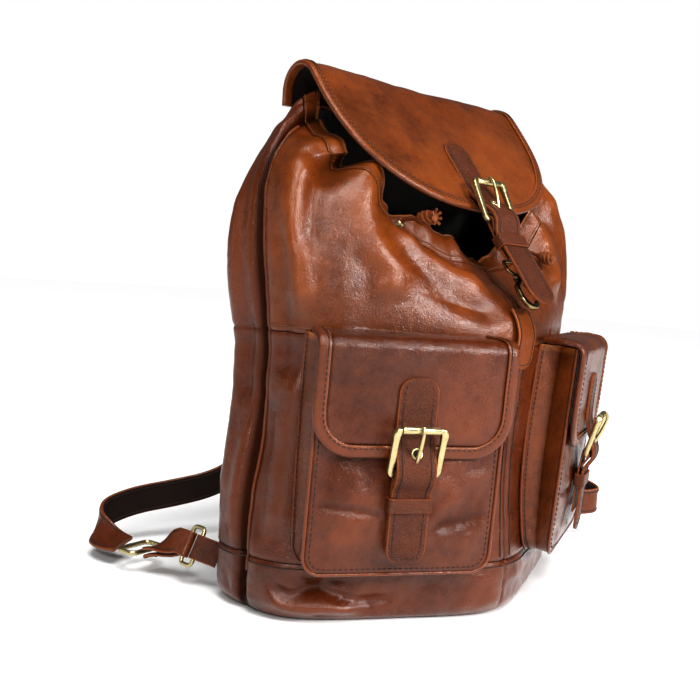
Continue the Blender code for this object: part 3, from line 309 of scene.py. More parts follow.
RAW = (0.34, 0.105, 0.022)
MATERIALS = {
    "tan_leather": leather("tan_leather_look", (0.138, 0.0300, 0.0036), (0.042, 0.0084, 0.0016), (0.25, 0.066, 0.008),
                           RAW),
    "russet_leather": leather("russet_leather_look", (0.092, 0.0180, 0.0030), (0.031, 0.0058, 0.0015),
                              (0.18, 0.042, 0.006), RAW),
    "strap_leather": leather("strap_leather_look", (0.088, 0.0200, 0.0052), (0.034, 0.0082, 0.0028),
                             (0.160, 0.042, 0.010), (0.24, 0.062, 0.012), 0.44, 1.7, 1.3, 0.16),
    "cord_leather": leather("cord_leather_look", (0.16, 0.040, 0.008), (0.06, 0.015, 0.004), (0.28, 0.08, 0.016),
                            (0.40, 0.15, 0.04), 0.45, 0.8, 0.9, 0.08),
    "dark_lining": cloth("dark_lining_look", (0.010, 0.008, 0.007)),
    "antique_brass": brass("antique_brass_look", (0.56, 0.48, 0.27), (0.30, 0.245, 0.12), 0.30),
    "dark_brass": brass("dark_brass_look", (0.30, 0.23, 0.11), (0.10, 0.075, 0.04), 0.24),
    "steel": brass("steel_look", (0.55, 0.54, 0.52), (0.30, 0.29, 0.27), 0.3),
}
FLESH = leather("flesh_side_look", (0.012, 0.006, 0.0042), (0.007, 0.004, 0.003), (0.03, 0.013, 0.008),
                (0.14, 0.04, 0.012), 0.75, 0.9, 0.5, 0.0)
THREAD = thread("thread_look", (0.034, 0.0105, 0.0048))
THREAD_TAN = thread("tan_thread_look", (0.16, 0.050, 0.013))


# ---------------------------------------------------------------- pieces
SMOOTH_BELOW = math.radians(50)


def add_piece(name, verts, faces, look, body, replaces=(), slot=None, marks=None, extra=None):
    """One shown piece. marks are per-vertex values that the leather reads; extra is (material, face indices).

    A look given by name is the material of that name; the slot argument is not used.
    """
    if isinstance(look, str):
        look, slot = MATERIALS[look], look
    mesh = bpy.data.meshes.new(name)
    mesh.from_pydata(np.asarray(verts, float).tolist(), [], faces)
    for key, values in (marks or {}).items():
        layer = mesh.attributes.new(key, "FLOAT", "POINT")
        layer.data.foreach_set("value", np.asarray(values, np.float32).ravel())
    mesh.materials.append(look)
    if extra:
        mesh.materials.append(extra[0])
        index = np.zeros(len(mesh.polygons), np.int32)
        index[list(extra[1])] = 1
        mesh.polygons.foreach_set("material_index", index)
    mesh.shade_smooth()
    mesh.set_sharp_from_angle(angle=SMOOTH_BELOW)
    obj = bpy.data.objects.new(name, mesh)
    bpy.context.scene.collection.objects.link(obj)
    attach(obj, body)
    if replaces:
        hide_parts(*replaces)
    return obj


def grid_faces(rows, cols, wrap=False, shift=0, flip=False, closed=False):
    """Quads of a grid: wrap joins its last column to its first, and closed its last row to its first."""
    faces = []
    for i in range(rows if closed else rows - 1):
        a, b = shift + i * cols, shift + (i + 1) % rows * cols
        for j in range(cols if wrap else cols - 1):
            k = (j + 1) % cols
            quad = (a + j, a + k, b + k, b + j)
            faces.append(quad[::-1] if flip else quad)
    return faces


def caps(count, sides):
    """The two end faces of a tube of count rings."""
    return [tuple(range(sides - 1, -1, -1)), tuple(range((count - 1) * sides, count * sides))]


def outer_inner(outer, inner):
    """Values of a wall's outer grid, followed by one value for its whole inner grid."""
    outer = np.ravel(outer)
    return np.concatenate((outer, np.full(outer.size, float(inner))))


def open_rim(faces, half, count):
    """A wall's faces with the first row's rim taken out and both its rings filled, to close a bottom."""
    rim = {(j, half + j, half + (j + 1) % count, (j + 1) % count) for j in range(count)}
    return [f for f in faces if f not in rim] + [tuple(range(count - 1, -1, -1)), tuple(range(half, half + count))]


def sheet_solid(outer, inner, wrap=False):
    """Vertices and faces of the closed wall between two grids, and how many faces its outer side has."""
    rows, cols = outer.shape[:2]
    verts = np.vstack((outer.reshape(-1, 3), inner.reshape(-1, 3)))
    shift = rows * cols
    faces = grid_faces(rows, cols, wrap) + grid_faces(rows, cols, wrap, shift, True)
    outer_count = len(faces) // 2
    last = cols if wrap else cols - 1
    top = (rows - 1) * cols
    for j in range(last):
        k = (j + 1) % cols
        faces.append((j, shift + j, shift + k, k))
        faces.append((top + k, shift + top + k, shift + top + j, top + j))
    if not wrap:
        for i in range(rows - 1):
            a, b = i * cols, (i + 1) * cols
            faces.append((a, b, shift + b, shift + a))
            a, b = a + cols - 1, b + cols - 1
            faces.append((b, a, shift + a, shift + b))
    return verts, faces, outer_count


def grid_normals(points, wrap=False):
    if wrap:
        along = np.roll(points, -1, axis=1) - np.roll(points, 1, axis=1)
    else:
        along = np.gradient(points, axis=1)
    return unit(np.cross(along, np.gradient(points, axis=0)))


def rounded_section(half_w, half_t, radius, steps=3):
    """A rounded rectangle as (wide, thin) points."""
    radius = min(radius, half_t * 0.98, half_w * 0.98)
    out = []
    for cx, cy, start in ((1, 1, 0), (-1, 1, 90), (-1, -1, 180), (1, -1, 270)):
        for k in range(steps + 1):
            t = math.radians(start + 90 * k / steps)
            out.append((cx * (half_w - radius) + radius * math.cos(t), cy * (half_t - radius) + radius * math.sin(t)))
        if cx == cy:
            border = half_w - radius - 0.0007
            out += [(cx * border, cy * half_t), (-cx * border, cy * half_t)]
    return np.array(out)


def strap_axes(points, wide, closed=False):
    """A strap's wide and thin directions at each point, square to its run."""
    tangent = tangents(points, closed)
    wide = np.broadcast_to(np.asarray(wide, float), points.shape)
    wide = unit(wide - tangent * np.sum(wide * tangent, axis=1, keepdims=True))
    return wide, np.cross(tangent, wide)


def sweep(points, wide, section, closed=False, scale=None):
    """Carries a (wide, thin) section along points; scale gives one factor per point for its wide part."""
    points = np.asarray(points, float)
    wide, thin = strap_axes(points, wide, closed)
    section = np.asarray(section)
    if section.ndim == 2:
        section = np.broadcast_to(section, (len(points),) + section.shape)
    if scale is not None:
        section = section * np.stack((scale, np.ones_like(scale)), axis=1)[:, None, :]
    verts = points[:, None] + wide[:, None] * section[..., :1] + thin[:, None] * section[..., 1:]
    count, sides = verts.shape[:2]
    faces = grid_faces(count, sides, True, closed=closed)
    return verts.reshape(-1, 3), faces if closed else faces + caps(count, sides)


def rounded_loop(x_low, x_high, y_low, y_high, corner, steps, step=0.0):
    """A closed rounded rectangle of (x, y) points, evenly spaced where a step is given."""
    loop = []
    for cx, cy, start in ((x_high - corner, y_high - corner, 0), (x_low + corner, y_high - corner, 90),
                          (x_low + corner, y_low + corner, 180), (x_high - corner, y_low + corner, 270)):
        for t in np.radians(np.linspace(start, start + 90, steps)):
            loop.append((cx + corner * math.cos(t), cy + corner * math.sin(t)))
    loop = np.array(loop)
    return resample(np.vstack((loop, loop[:1])), step)[:-1] if step else loop


def lathe(centre, axle, guide, profile, sides=28):
    """A ring turned round an axle, from a closed profile of (distance along the axle, radius)."""
    across = unit(np.cross(axle, guide))
    third = np.cross(axle, across)
    verts = [centre + axle * h + across * (r * math.cos(a)) + third * (r * math.sin(a))
             for h, r in profile for a in np.arange(sides) * math.tau / sides]
    return verts, grid_faces(len(profile), sides, True, closed=True)


def round_bar(radius, sides=16):
    t = np.arange(sides) * math.tau / sides
    return np.stack((radius * np.cos(t), radius * np.sin(t)), axis=1)


def join(parts):
    verts, faces, shift = [], [], 0
    for v, f in parts:
        verts.append(np.asarray(v))
        faces += [tuple(i + shift for i in face) for face in f]
        shift += len(v)
    return np.vstack(verts), faces


# A stitch: its pitch, length and thickness, its sides, and its rings as (along, thickness, height)
STITCH_PITCH, STITCH_LENGTH, STITCH_R, STITCH_SIDES = 0.0040, 0.0029, 0.00042, 6
STITCH_RINGS = ((-1.0, 0.25, -0.9), (-0.82, 0.8, -0.1), (0.0, 1.0, 0.35), (0.82, 0.8, -0.1), (1.0, 0.25, -0.9))


def add_stitches(name, paths, body, look=None):
    """Rows of thread. paths is a list of (points, outward normals)."""
    ring, count = STITCH_SIDES, len(STITCH_RINGS)
    t = np.arange(ring) * math.tau / ring
    verts, faces, shift = [], [], 0
    for points, normals in paths:
        both = resample(np.hstack((points, normals)), STITCH_PITCH)
        centre, up = both[:, :3], unit(both[:, 3:])
        along = tangents(centre)
        side = unit(np.cross(along, up))
        for c, a, n, s in zip(centre[:-1] * 0.5 + centre[1:] * 0.5, along, up, side):
            for x, r, h in STITCH_RINGS:
                mid = c + a * (x * STITCH_LENGTH / 2) + n * (h * STITCH_R)
                verts.append(mid + s * (np.cos(t) * r * STITCH_R)[:, None] + n * (np.sin(t) * r * STITCH_R)[:, None])
            faces += grid_faces(count, ring, True, shift)
            faces += [tuple(shift + k for k in cap) for cap in caps(count, ring)]
            shift += ring * count
    return add_piece(name, np.vstack(verts), faces, look or THREAD, body)


def add_tube(name, points, radius, look, body, sides=12, **more):
    points = np.asarray(points, float)
    wide = np.cross(tangents(points), np.array((0.31, 0.17, 0.93)))
    verts, faces = sweep(points, wide, round_bar(radius, sides))
    return add_piece(name, verts, faces, look, body, **more)


# ---------------------------------------------------------------- body surface
def station_columns():
    """Front, side and back distances at closely spaced heights, on the CAD part's cubics."""
    heights = np.linspace(0.0, SEAM_Z, 260)
    columns = []
    z = STATIONS[:, 0]
    for k in (1, 2, 3):
        v = STATIONS[:, k]
        out = []
        for h in heights:
            i = max(min(int(np.searchsorted(z, h, side="left")) - 1, len(z) - 2), 0)
            t = (h - z[i]) / (z[i + 1] - z[i])
            before, after = max(i - 1, 0), min(i + 2, len(z) - 1)
            m0 = (v[i + 1] - v[before]) / (z[i + 1] - z[before]) * (z[i + 1] - z[i])
            m1 = (v[after] - v[i]) / (z[after] - z[i]) * (z[i + 1] - z[i])
            out.append((2 * t ** 3 - 3 * t * t + 1) * v[i] + (t ** 3 - 2 * t * t + t) * m0
                       + (-2 * t ** 3 + 3 * t * t) * v[i + 1] + (t ** 3 - t * t) * m1)
        columns.append(np.array(out))
    return heights, columns


HEIGHTS, COLUMNS = station_columns()


def plan_faces(x, y, z):
    front, side, back = (np.interp(z, HEIGHTS, column) for column in COLUMNS)
    s, c = math.sin(FRONT_ANGLE), math.cos(FRONT_ANGLE)
    faces = ((s * x - c * y, front), (-s * x - c * y, front), (x, side), (-x, side), (y, back))
    return sum((np.maximum(0.0, d) / dist) ** CORNER_POWER for d, dist in faces)


def plan_point(turn, z):
    x, y = 0.16 * np.cos(turn), 0.085 * np.sin(turn)
    length = np.hypot(x, y)
    x, y = x / length, y / length
    radius = plan_faces(x, y, z) ** (-1.0 / CORNER_POWER)
    return np.stack((x * radius, y * radius, z + 0 * x), axis=-1)


def neck_point(turn):
    c, s = np.cos(turn), np.sin(turn)
    power = np.where(s > 0, 0.6, 1.0)
    x = NECK_X * np.sign(c) * np.abs(c) ** power
    y = NECK_Y + NECK_DEPTH * np.sign(s) * np.abs(s) ** power
    return np.stack((x, y, NECK_Z + NECK_RISE * s - NECK_SAG * s * s), axis=-1)


def shoulder_point(turn, v):
    turn, v = np.broadcast_arrays(turn, v)
    c, s = np.cos(turn), np.sin(turn)
    low, high = plan_point(turn, np.full(turn.shape, SEAM_Z)), neck_point(turn)
    back, front = np.maximum(0.0, s) ** 4, np.maximum(0.0, -s) ** 2
    side = 1.0 - back - front
    low_tangent = np.stack((0.02 * c * side, -0.02 * front, 0.20 * side + 0.18 * back + 0.07 * front), axis=-1)
    high_tangent = np.stack((-0.22 * c * side, 0.09 * front - 0.02 * s * side,
                             0.05 * side + 0.18 * back + 0.03 * front), axis=-1)
    v = v[..., None]
    return (low * (2 * v ** 3 - 3 * v * v + 1) + low_tangent * (v ** 3 - 2 * v * v + v)
            + high * (-2 * v ** 3 + 3 * v * v) + high_tangent * (v ** 3 - v * v))


def skin(turn, v):
    """The CAD part's outer face: v is -1 at the floor, 0 at the cross seam and 1 at the neck ring."""
    turn, v = np.broadcast_arrays(np.asarray(turn, float), np.asarray(v, float))
    low = plan_point(turn, SEAM_Z * (1.0 + np.minimum(v, 0.0)))
    return np.where((v < 0)[..., None], low, shoulder_point(turn, np.maximum(v, 0.0)))


def skin_normal(turn, v):
    step = 0.01
    along = skin(turn + step, v) - skin(turn - step, v)
    up = skin(turn, np.minimum(v + step, 1.0)) - skin(turn, v - step)
    return unit(np.cross(along, up))


def hem_start(turn):
    line = shoulder_point(np.asarray(turn, float)[..., None], np.linspace(0, 1, 13))
    return 1.0 - HEM_HEIGHT / np.linalg.norm(np.diff(line, axis=-2), axis=-1).sum(axis=-1)


def turn_gap(turn, degrees):
    """Signed difference from a turn given in degrees, in degrees from -180 to 180."""
    return (np.degrees(turn) - degrees + 180.0) % 360.0 - 180.0


# Big folds of the gathered neck: turn, half width in degrees, outward and upward move of the hem, reach down
FOLDS = (
    (176, 5, -0.006, 0.000, 0.45), (-174, 7, 0.010, -0.016, 0.50), (-161, 5, -0.016, 0.004, 0.40),
    (-149, 7, 0.010, 0.010, 0.55), (-134, 6, -0.006, 0.004, 0.35), (-119, 10, -0.004, 0.020, 0.30),
    (-103, 9, -0.004, 0.020, 0.30), (-88, 8, -0.006, 0.009, 0.25), (-72, 8, 0.008, 0.005, 0.35),
    (-55, 5, -0.012, -0.004, 0.40), (-40, 7, 0.010, 0.005, 0.50), (-24, 5, -0.012, 0.000, 0.45),
    (-8, 6, 0.007, 0.000, 0.50),
    (12, 5, -0.006, 0.000, 0.45), (30, 6, 0.005, 0.000, 0.4), (48, 5, -0.008, 0.000, 0.35),
    (66, 6, 0.004, 0.000, 0.3), (90, 8, -0.004, 0.000, 0.25), (114, 6, 0.004, 0.000, 0.3),
    (132, 5, -0.008, 0.000, 0.35), (150, 6, 0.005, 0.000, 0.4),
)


def line_relief(points, turn_v, width, height, ends=0.02):
    """A ridge (or a valley, where height is negative) along a line given as (degrees, v) points."""
    line = skin(np.radians([p[0] for p in turn_v]), np.array([p[1] for p in turn_v], float))
    line = catmull(line, 4)
    best = np.full(points.shape[:-1], 9.0)
    run = lengths(line)
    place = np.zeros(points.shape[:-1])
    for i in range(len(line) - 1):
        a, d = line[i], line[i + 1] - line[i]
        t = np.clip(((points - a) @ d) / (d @ d), 0, 1)
        dist = np.linalg.norm(points - a - t[..., None] * d, axis=-1)
        nearer = dist < best
        best = np.where(nearer, dist, best)
        place = np.where(nearer, run[i] + t * (run[i + 1] - run[i]), place)
    fade = smoothstep(np.minimum(place, run[-1] - place) / ends)
    return height * fade * np.exp(-(best / width) ** 2)


# Lasting bends of the leather: points as (degrees, v), width, height
BENDS = (
    (((-150, 0.95), (-143, 0.70), (-136, 0.45), (-132, 0.20)), 0.013, 0.0050),
    (((-160, 0.92), (-162, 0.72), (-163, 0.50), (-164, 0.28)), 0.009, -0.0050),
    (((-172, 0.80), (-171, 0.55), (-170, 0.30), (-170, 0.05)), 0.011, 0.0055),
    (((-138, 0.82), (-122, 0.66), (-106, 0.60), (-96, 0.55)), 0.009, 0.0045),
    (((-131, 0.75), (-117, 0.48), (-104, 0.36), (-95, 0.30)), 0.010, -0.0030),
    (((-137, 0.93), (-124, 0.84), (-110, 0.80), (-97, 0.78)), 0.006, -0.0050),
    (((-134, 0.80), (-122, 0.74), (-108, 0.70), (-96, 0.66)), 0.007, 0.0030),
    (((-60, 0.75), (-64, 0.50), (-70, 0.30)), 0.009, -0.0045),
    (((-40, 0.90), (-45, 0.60), (-52, 0.30)), 0.012, 0.0060),
    (((-22, 0.90), (-24, 0.55), (-28, 0.20)), 0.009, -0.0050),
    (((-8, 0.85), (-9, 0.50), (-12, 0.10)), 0.011, 0.0045),
    (((158, 0.80), (157, 0.45), (158, 0.10), (158, -0.30)), 0.007, -0.0035),
    (((150, 0.80), (149, 0.30), (150, -0.25), (152, -0.65)), 0.008, 0.0030),
    (((22, 0.80), (23, 0.45), (22, 0.10), (22, -0.30)), 0.007, -0.0035),
    (((153, -0.10), (153, 0.20), (153, 0.45), (153, 0.66), (152, 0.85)), 0.022, 0.0090, 0.085),
    (((27, -0.10), (27, 0.20), (27, 0.42), (27, 0.62), (28, 0.85)), 0.022, 0.0060, 0.085),
    (((-172, -0.10), (-173, -0.45), (-174, -0.72)), 0.010, 0.0036),
    (((-179, 0.45), (-176, 0.25), (-177, 0.05), (-175, -0.20)), 0.006, -0.0030),
    (((176, -0.20), (175, -0.50), (177, -0.75)), 0.007, -0.0030),
    (((163, -0.30), (161, -0.55), (162, -0.80)), 0.008, 0.0032),
    (((-178, -0.84), (-166, -0.90), (-154, -0.88), (-140, -0.92), (-124, -0.90)), 0.0045, -0.0042),
    (((-176, -0.90), (-164, -0.95), (-150, -0.94), (-136, -0.96)), 0.006, 0.0038),
    (((-163, -0.05), (-161, -0.40), (-160, -0.75)), 0.007, -0.0025),
    (((-168, -0.80), (-158, -0.86), (-148, -0.84), (-138, -0.87)), 0.006, -0.0035),
    (((-170, -0.90), (-158, -0.93), (-146, -0.93), (-134, -0.92)), 0.007, 0.0025),
    (((-12, -0.80), (-22, -0.86), (-34, -0.84), (-44, -0.87)), 0.006, -0.0035),
    (((-90, -0.86), (-70, -0.84), (-50, -0.86)), 0.006, 0.0020),
    (((-130, -0.84), (-110, -0.82), (-92, -0.86)), 0.006, 0.0020),
)


def body_relief(turn, v):
    """Outward relief of the leather, its lasting bends, the neck's gathers and upward move, and the seam valleys."""
    p = skin(turn, v)
    low = smoothstep((-0.78 - v) / 0.10)
    relief = (0.0019 + 0.0016 * low) * cloud(p, 0.055, 3.0) + (0.0008 + 0.0008 * low) * cloud(p, 0.018, 8.0)
    bends = sum(line_relief(p, *bend) for bend in BENDS)
    # The leather is pressed in where each opened pocket flap meets it
    for middle in (-122, -58):
        near = smoothstep((34 - np.abs(turn_gap(turn, middle))) / 14)
        high = smoothstep(v / 0.05) * smoothstep((0.50 - v) / 0.16)
        relief = relief - near * high * (0.0024 + np.maximum(relief, 0))
    rise = np.zeros(p.shape[:-1])
    gather = np.zeros(p.shape[:-1])
    for middle, width, out, up, reach in FOLDS:
        near = np.exp(-(turn_gap(turn, middle) / width) ** 2)
        gather += out * near * smoothstep((v - 1 + reach) / reach) ** 1.5
        rise += up * near * smoothstep((v - 0.7) / 0.3)
    small = np.sin(turn * 34 + 1.3 * np.sin(turn * 5)) * 0.5 + np.sin(turn * 53 + 2.0) * 0.3
    gather += 0.0022 * small * smoothstep((v - 0.62) / 0.38) ** 2
    seams = np.zeros(p.shape[:-1])
    for degrees in (12, 168):
        seam = skin(np.full(turn.shape, math.radians(degrees)), v)
        seams -= 0.0070 * np.exp(-(np.linalg.norm(p - seam, axis=-1) / 0.0055) ** 2)
    centre = np.abs(p[..., 0]) * (p[..., 1] < 0)
    seams -= np.where(p[..., 1] < 0, 0.0011 * np.exp(-(centre / 0.0013) ** 2), 0.0)
    for height in (BASE_Z, SEAM_Z):
        across = np.abs(p[..., 2] - height)
        seams -= np.where(v < 0.06, 0.0012 * np.exp(-(across / 0.0016) ** 2), 0.0)
    return relief, bends, gather, rise, seams


def body_point(turn, v, inset=0.0):
    """The leather's outer face, as shown, or a face inset from it."""
    turn, v = np.broadcast_arrays(np.asarray(turn, float), np.asarray(v, float))
    relief, bends, gather, rise, seams = body_relief(turn, v)
    floor_fade = smoothstep((v + 1.0) * SEAM_Z / 0.016)
    out = (relief + bends + seams) * floor_fade + gather - inset
    point = skin(turn, v) + skin_normal(turn, v) * out[..., None]
    point[..., 2] += rise
    point[..., 2] = np.maximum(point[..., 2], 0.0)
    return point


def body_marks(turn, v):
    turn, v = np.broadcast_arrays(np.asarray(turn, float), np.asarray(v, float))
    relief, bends, gather, rise, seams = body_relief(turn, v)
    # Painted highlight and painted shade on the body: wear lifts ridges, bulges and outward gathers (part pull-up
    # lightening, part painted highlight); dark is painted shade in seam valleys, inward gathers and hollow bends
    wear_and_highlight = np.clip(bends / 0.006, 0, 1) * 0.6 + np.clip(relief / 0.002, 0, 1) * 0.4
    wear_and_highlight = wear_and_highlight + np.clip(gather / 0.010, 0, 1) * 0.4
    dark_tone_and_shade = np.clip(-seams / 0.005, 0, 1) ** 1.5 + np.clip(-gather / 0.016, 0, 1) * 0.5
    dark_tone_and_shade = dark_tone_and_shade + np.clip(-bends / 0.006, 0, 1) * 0.25
    return np.clip(wear_and_highlight, 0, 1), np.clip(dark_tone_and_shade, 0, 1)


def body_panel(name, turns, rows, look, thickness=LEATHER, wrap=False, **more):
    """A leather panel: turns across, rows given as arrays of v, one value for each turn."""
    grid_turn = np.broadcast_to(turns, (len(rows), len(turns)))
    grid_v = np.stack([np.broadcast_to(row, turns.shape) for row in rows])
    outer = body_point(grid_turn, grid_v)
    inner = body_point(grid_turn, grid_v, thickness)
    wear_and_highlight, dark_tone_and_shade = body_marks(grid_turn, grid_v)
    verts, faces, _ = sheet_solid(outer, inner, wrap)
    # The inner face gets a flat painted shade of 0.7, for the inside of the bag
    marks = {"wear_and_highlight": outer_inner(wear_and_highlight, 0), "dark_tone_and_shade": outer_inner(dark_tone_and_shade, 0.7), "edge": np.zeros(len(verts))}
    return add_piece(name, verts, faces, look, BAG, marks=marks, **more)


def wall_v(z):
    return np.asarray(z) / SEAM_Z - 1.0


def make_body():
    lower = [wall_v(z) for z in np.linspace(BASE_Z + GAP, SEAM_Z - GAP, 120)]
    left, right = (-math.pi - SIDE_SEAM, CENTRE), (CENTRE, SIDE_SEAM)
    for side, (start, end) in (("left", left), ("right", right)):
        turns = np.linspace(start + 0.001, end - 0.001, 150)
        top = hem_start(turns)
        upper = [share * top for share in np.linspace(0.002, 0.995, 120)]
        body_panel("lower_front_leather_" + side, turns, lower, "russet_leather",
                   replaces=("front_lower_" + side,))
        body_panel("upper_front_leather_" + side, turns, upper, "tan_leather", replaces=("front_upper_" + side,))
    turns = np.linspace(SIDE_SEAM + 0.001, math.pi - SIDE_SEAM - 0.001, 210)
    top = hem_start(turns)
    rows = lower + [share * top for share in np.linspace(0.012, 0.995, 110)]
    body_panel("back_leather", turns, rows, "russet_leather", replaces=("back_panel",))

    ring = np.linspace(0, math.tau, 560, endpoint=False) + CENTRE
    start = hem_start(ring)
    rows = [start + (1 - start) * share for share in np.linspace(0.02, 1.0, 14)]
    hem = body_panel("hem_leather", ring, rows, "tan_leather", HEM_T, True, replaces=("collar",))
    # The hem's cut top shows its raw edge
    values = np.zeros(len(hem.data.vertices), np.float32)
    count = len(ring)
    values[12 * count:14 * count] = 0.7
    values[-count:] = 0.7
    hem.data.attributes["edge"].data.foreach_set("value", values)

    rows = wall_v(np.concatenate((np.linspace(0.0, 0.006, 6), np.linspace(0.0075, BASE_Z - GAP, 34))))[:, None]
    base, inner = body_point(ring, rows), body_point(ring, rows, LEATHER)
    inner[..., 2] = np.maximum(inner[..., 2], LEATHER)
    verts, faces, _ = sheet_solid(base, inner, True)
    wear_and_highlight, dark_tone_and_shade = body_marks(ring, rows)
    # The base's inner face gets the same flat painted shade
    add_piece("base_leather", verts, open_rim(faces, len(verts) // 2, count), "russet_leather", BAG,
              ("base_panel",), marks={"wear_and_highlight": outer_inner(wear_and_highlight, 0), "dark_tone_and_shade": outer_inner(dark_tone_and_shade, 0.7)})

    ring = np.linspace(0, math.tau, 200, endpoint=False)
    rows = np.concatenate((wall_v(np.linspace(0.012, SEAM_Z, 30)), np.linspace(0.02, 0.93, 30)))[:, None]
    grid, under = (body_point(ring, rows, inset) for inset in LINING_INSETS)
    floor = grid[0].mean(axis=0)
    for g, z in ((grid, 0.0052), (under, 0.0060)):
        g[0] = floor + (g[0] - floor) * 0.985
        g[0, :, 2] = z
    verts, faces, _ = sheet_solid(grid, under, True)
    add_piece("lining_cloth", verts, open_rim(faces, len(verts) // 2, len(ring)), "dark_lining", BAG,
              ("lining",))


def body_line(turn_v, lift=0.0, per_span=14):
    """Points just off the shown leather along a line of (degrees, v), and the outward normals."""
    both = catmull(np.array(turn_v, float), per_span)
    turn, v = np.radians(both[:, 0]), both[:, 1]
    normal = skin_normal(turn, v)
    return body_point(turn, v) + normal * lift, normal


# How far the front's centre is from the middle, and how far stitches stand off the leather
FRONT_R, STITCH_LIFT = 0.083, 0.0002


def make_body_seams():
    stitched, tan_stitched = [], []
    for degrees, sign in ((168, 1), (12, -1)):
        line = [(degrees + sign * 0.9, v) for v in np.linspace(wall_v(0.030), 0.88, 14)]
        points, normals = body_line(line, 0.0006)
        # The piping is painted paler all along its length: painted highlight on the raised bead
        add_tube("side_piping_" + ("left" if sign > 0 else "right"), points, PIPING_R, MATERIALS["russet_leather"], BAG,
                 marks={"wear_and_highlight": np.full(len(points) * 12, 0.7)})
    for offset in SEAM_OFFSETS:
        degrees = -90 + math.degrees(offset / FRONT_R)
        for rows, v in ((stitched, np.linspace(wall_v(BASE_Z + 0.004), -0.01, 40)),
                        (tan_stitched, np.linspace(0.01, 0.55, 20))):
            rows.append(body_line([(degrees, x) for x in v], STITCH_LIFT, 2))
    for start, end in ((-191, -91), (-89, 11)):
        turns = np.linspace(start, end, 60)
        stitched.append(body_line([(t, wall_v(BASE_Z - 0.0035)) for t in turns], STITCH_LIFT, 2))
        tan_stitched.append(body_line([(t, 0.022) for t in turns], STITCH_LIFT, 2))
    turns = np.linspace(13, 167, 80)
    stitched.append(body_line([(t, wall_v(BASE_Z - 0.0035)) for t in turns], STITCH_LIFT, 2))
    add_stitches("body_stitches", stitched, BAG)
    ring = np.linspace(-200, 160, 220)
    start = hem_start(np.radians(ring))
    for share in (0.14, 0.86):
        tan_stitched.append(body_line(np.stack((ring, start + (1 - start) * share), axis=1), STITCH_LIFT, 2))
    add_stitches("hem_stitches", tan_stitched, BAG, THREAD_TAN)


# ---------------------------------------------------------------- pockets
def pocket_frame(sign):
    out = Vector((sign * math.sin(FRONT_ANGLE), -math.cos(FRONT_ANGLE), 0))
    up = out * math.sin(POCKET_LEAN) + Vector((0, 0, math.cos(POCKET_LEAN)))
    out = out * math.cos(POCKET_LEAN) - Vector((0, 0, math.sin(POCKET_LEAN)))
    foot = Vector((sign * POCKET_FOOT[0], POCKET_FOOT[1], POCKET_FOOT[2]))
    return Matrix.Translation(foot) @ Matrix((up.cross(out), up, out)).transposed().to_4x4()


def wall_depth(place, x, y):
    """Height of the bag's outer face above the pocket's back plane."""
    x, y = np.broadcast_arrays(np.asarray(x, float), np.asarray(y, float))
    low, high = np.full(x.shape, -0.04), np.full(x.shape, 0.04)
    for _ in range(26):
        mid = (low + high) / 2
        p = at_frame(place, np.stack((x, y, mid), axis=-1))
        outside = plan_faces(p[..., 0], p[..., 1], p[..., 2]) > 1
        high, low = np.where(outside, mid, high), np.where(outside, low, mid)
    return high


def u_outline(half, height, corner, steps=10, sides=26):
    out = [(-half, height - (height - corner) * k / sides) for k in range(sides)]
    foot = half - corner
    for cx, start in ((-foot, 180), (foot, 270)):
        for k in range(steps + 1):
            t = math.radians(start + 90 * k / steps)
            out.append((cx + corner * math.cos(t), corner + corner * math.sin(t)))
        if cx < 0:
            out += [(foot * k / 14, 0.0) for k in range(-13, 14)]
    out += [(half, corner + (height - corner) * k / sides) for k in range(1, sides + 1)]
    return np.array(out)


def pocket_height(x, y, seed):
    """How far the pocket's front stands out of its plane."""
    low = POCKET_H - FLAP_DROP + 0.006
    crown = 0.0046 * np.sin(math.pi * np.clip((y + 0.004) / low, 0, 1)) * (1 - (x / (POCKET_W / 2)) ** 4)
    p = np.stack((x, y, np.full(np.shape(x), seed * 0.37)), axis=-1)
    ease = smoothstep((POCKET_W / 2 - np.abs(x)) / 0.016) * smoothstep(y / 0.014)
    under = smoothstep((POCKET_H - FLAP_DROP + 0.022 - y) / 0.018)
    relief = (0.0030 * cloud(p, 0.042, seed) + 0.0013 * cloud(p, 0.016, seed + 4)) * ease * under
    # Two creases and a bulge near the foot
    creases = ((0.0020, 0.034, 0.25, 0.0035, 1), (0.0019, 0.046, -0.10, 0.0030, -1))
    for depth, middle, slope, width, sign in creases:
        across = y - middle - slope * (x - sign * 0.03)
        relief -= depth * np.exp(-(across / width) ** 2) * smoothstep((sign * x - 0.012) / 0.02) * ease
    relief += 0.0016 * np.exp(-(((x - 0.036) / 0.018) ** 2 + ((y - 0.024) / 0.012) ** 2)) * ease
    return crown * (0.7 + 0.3 * under) + relief, relief


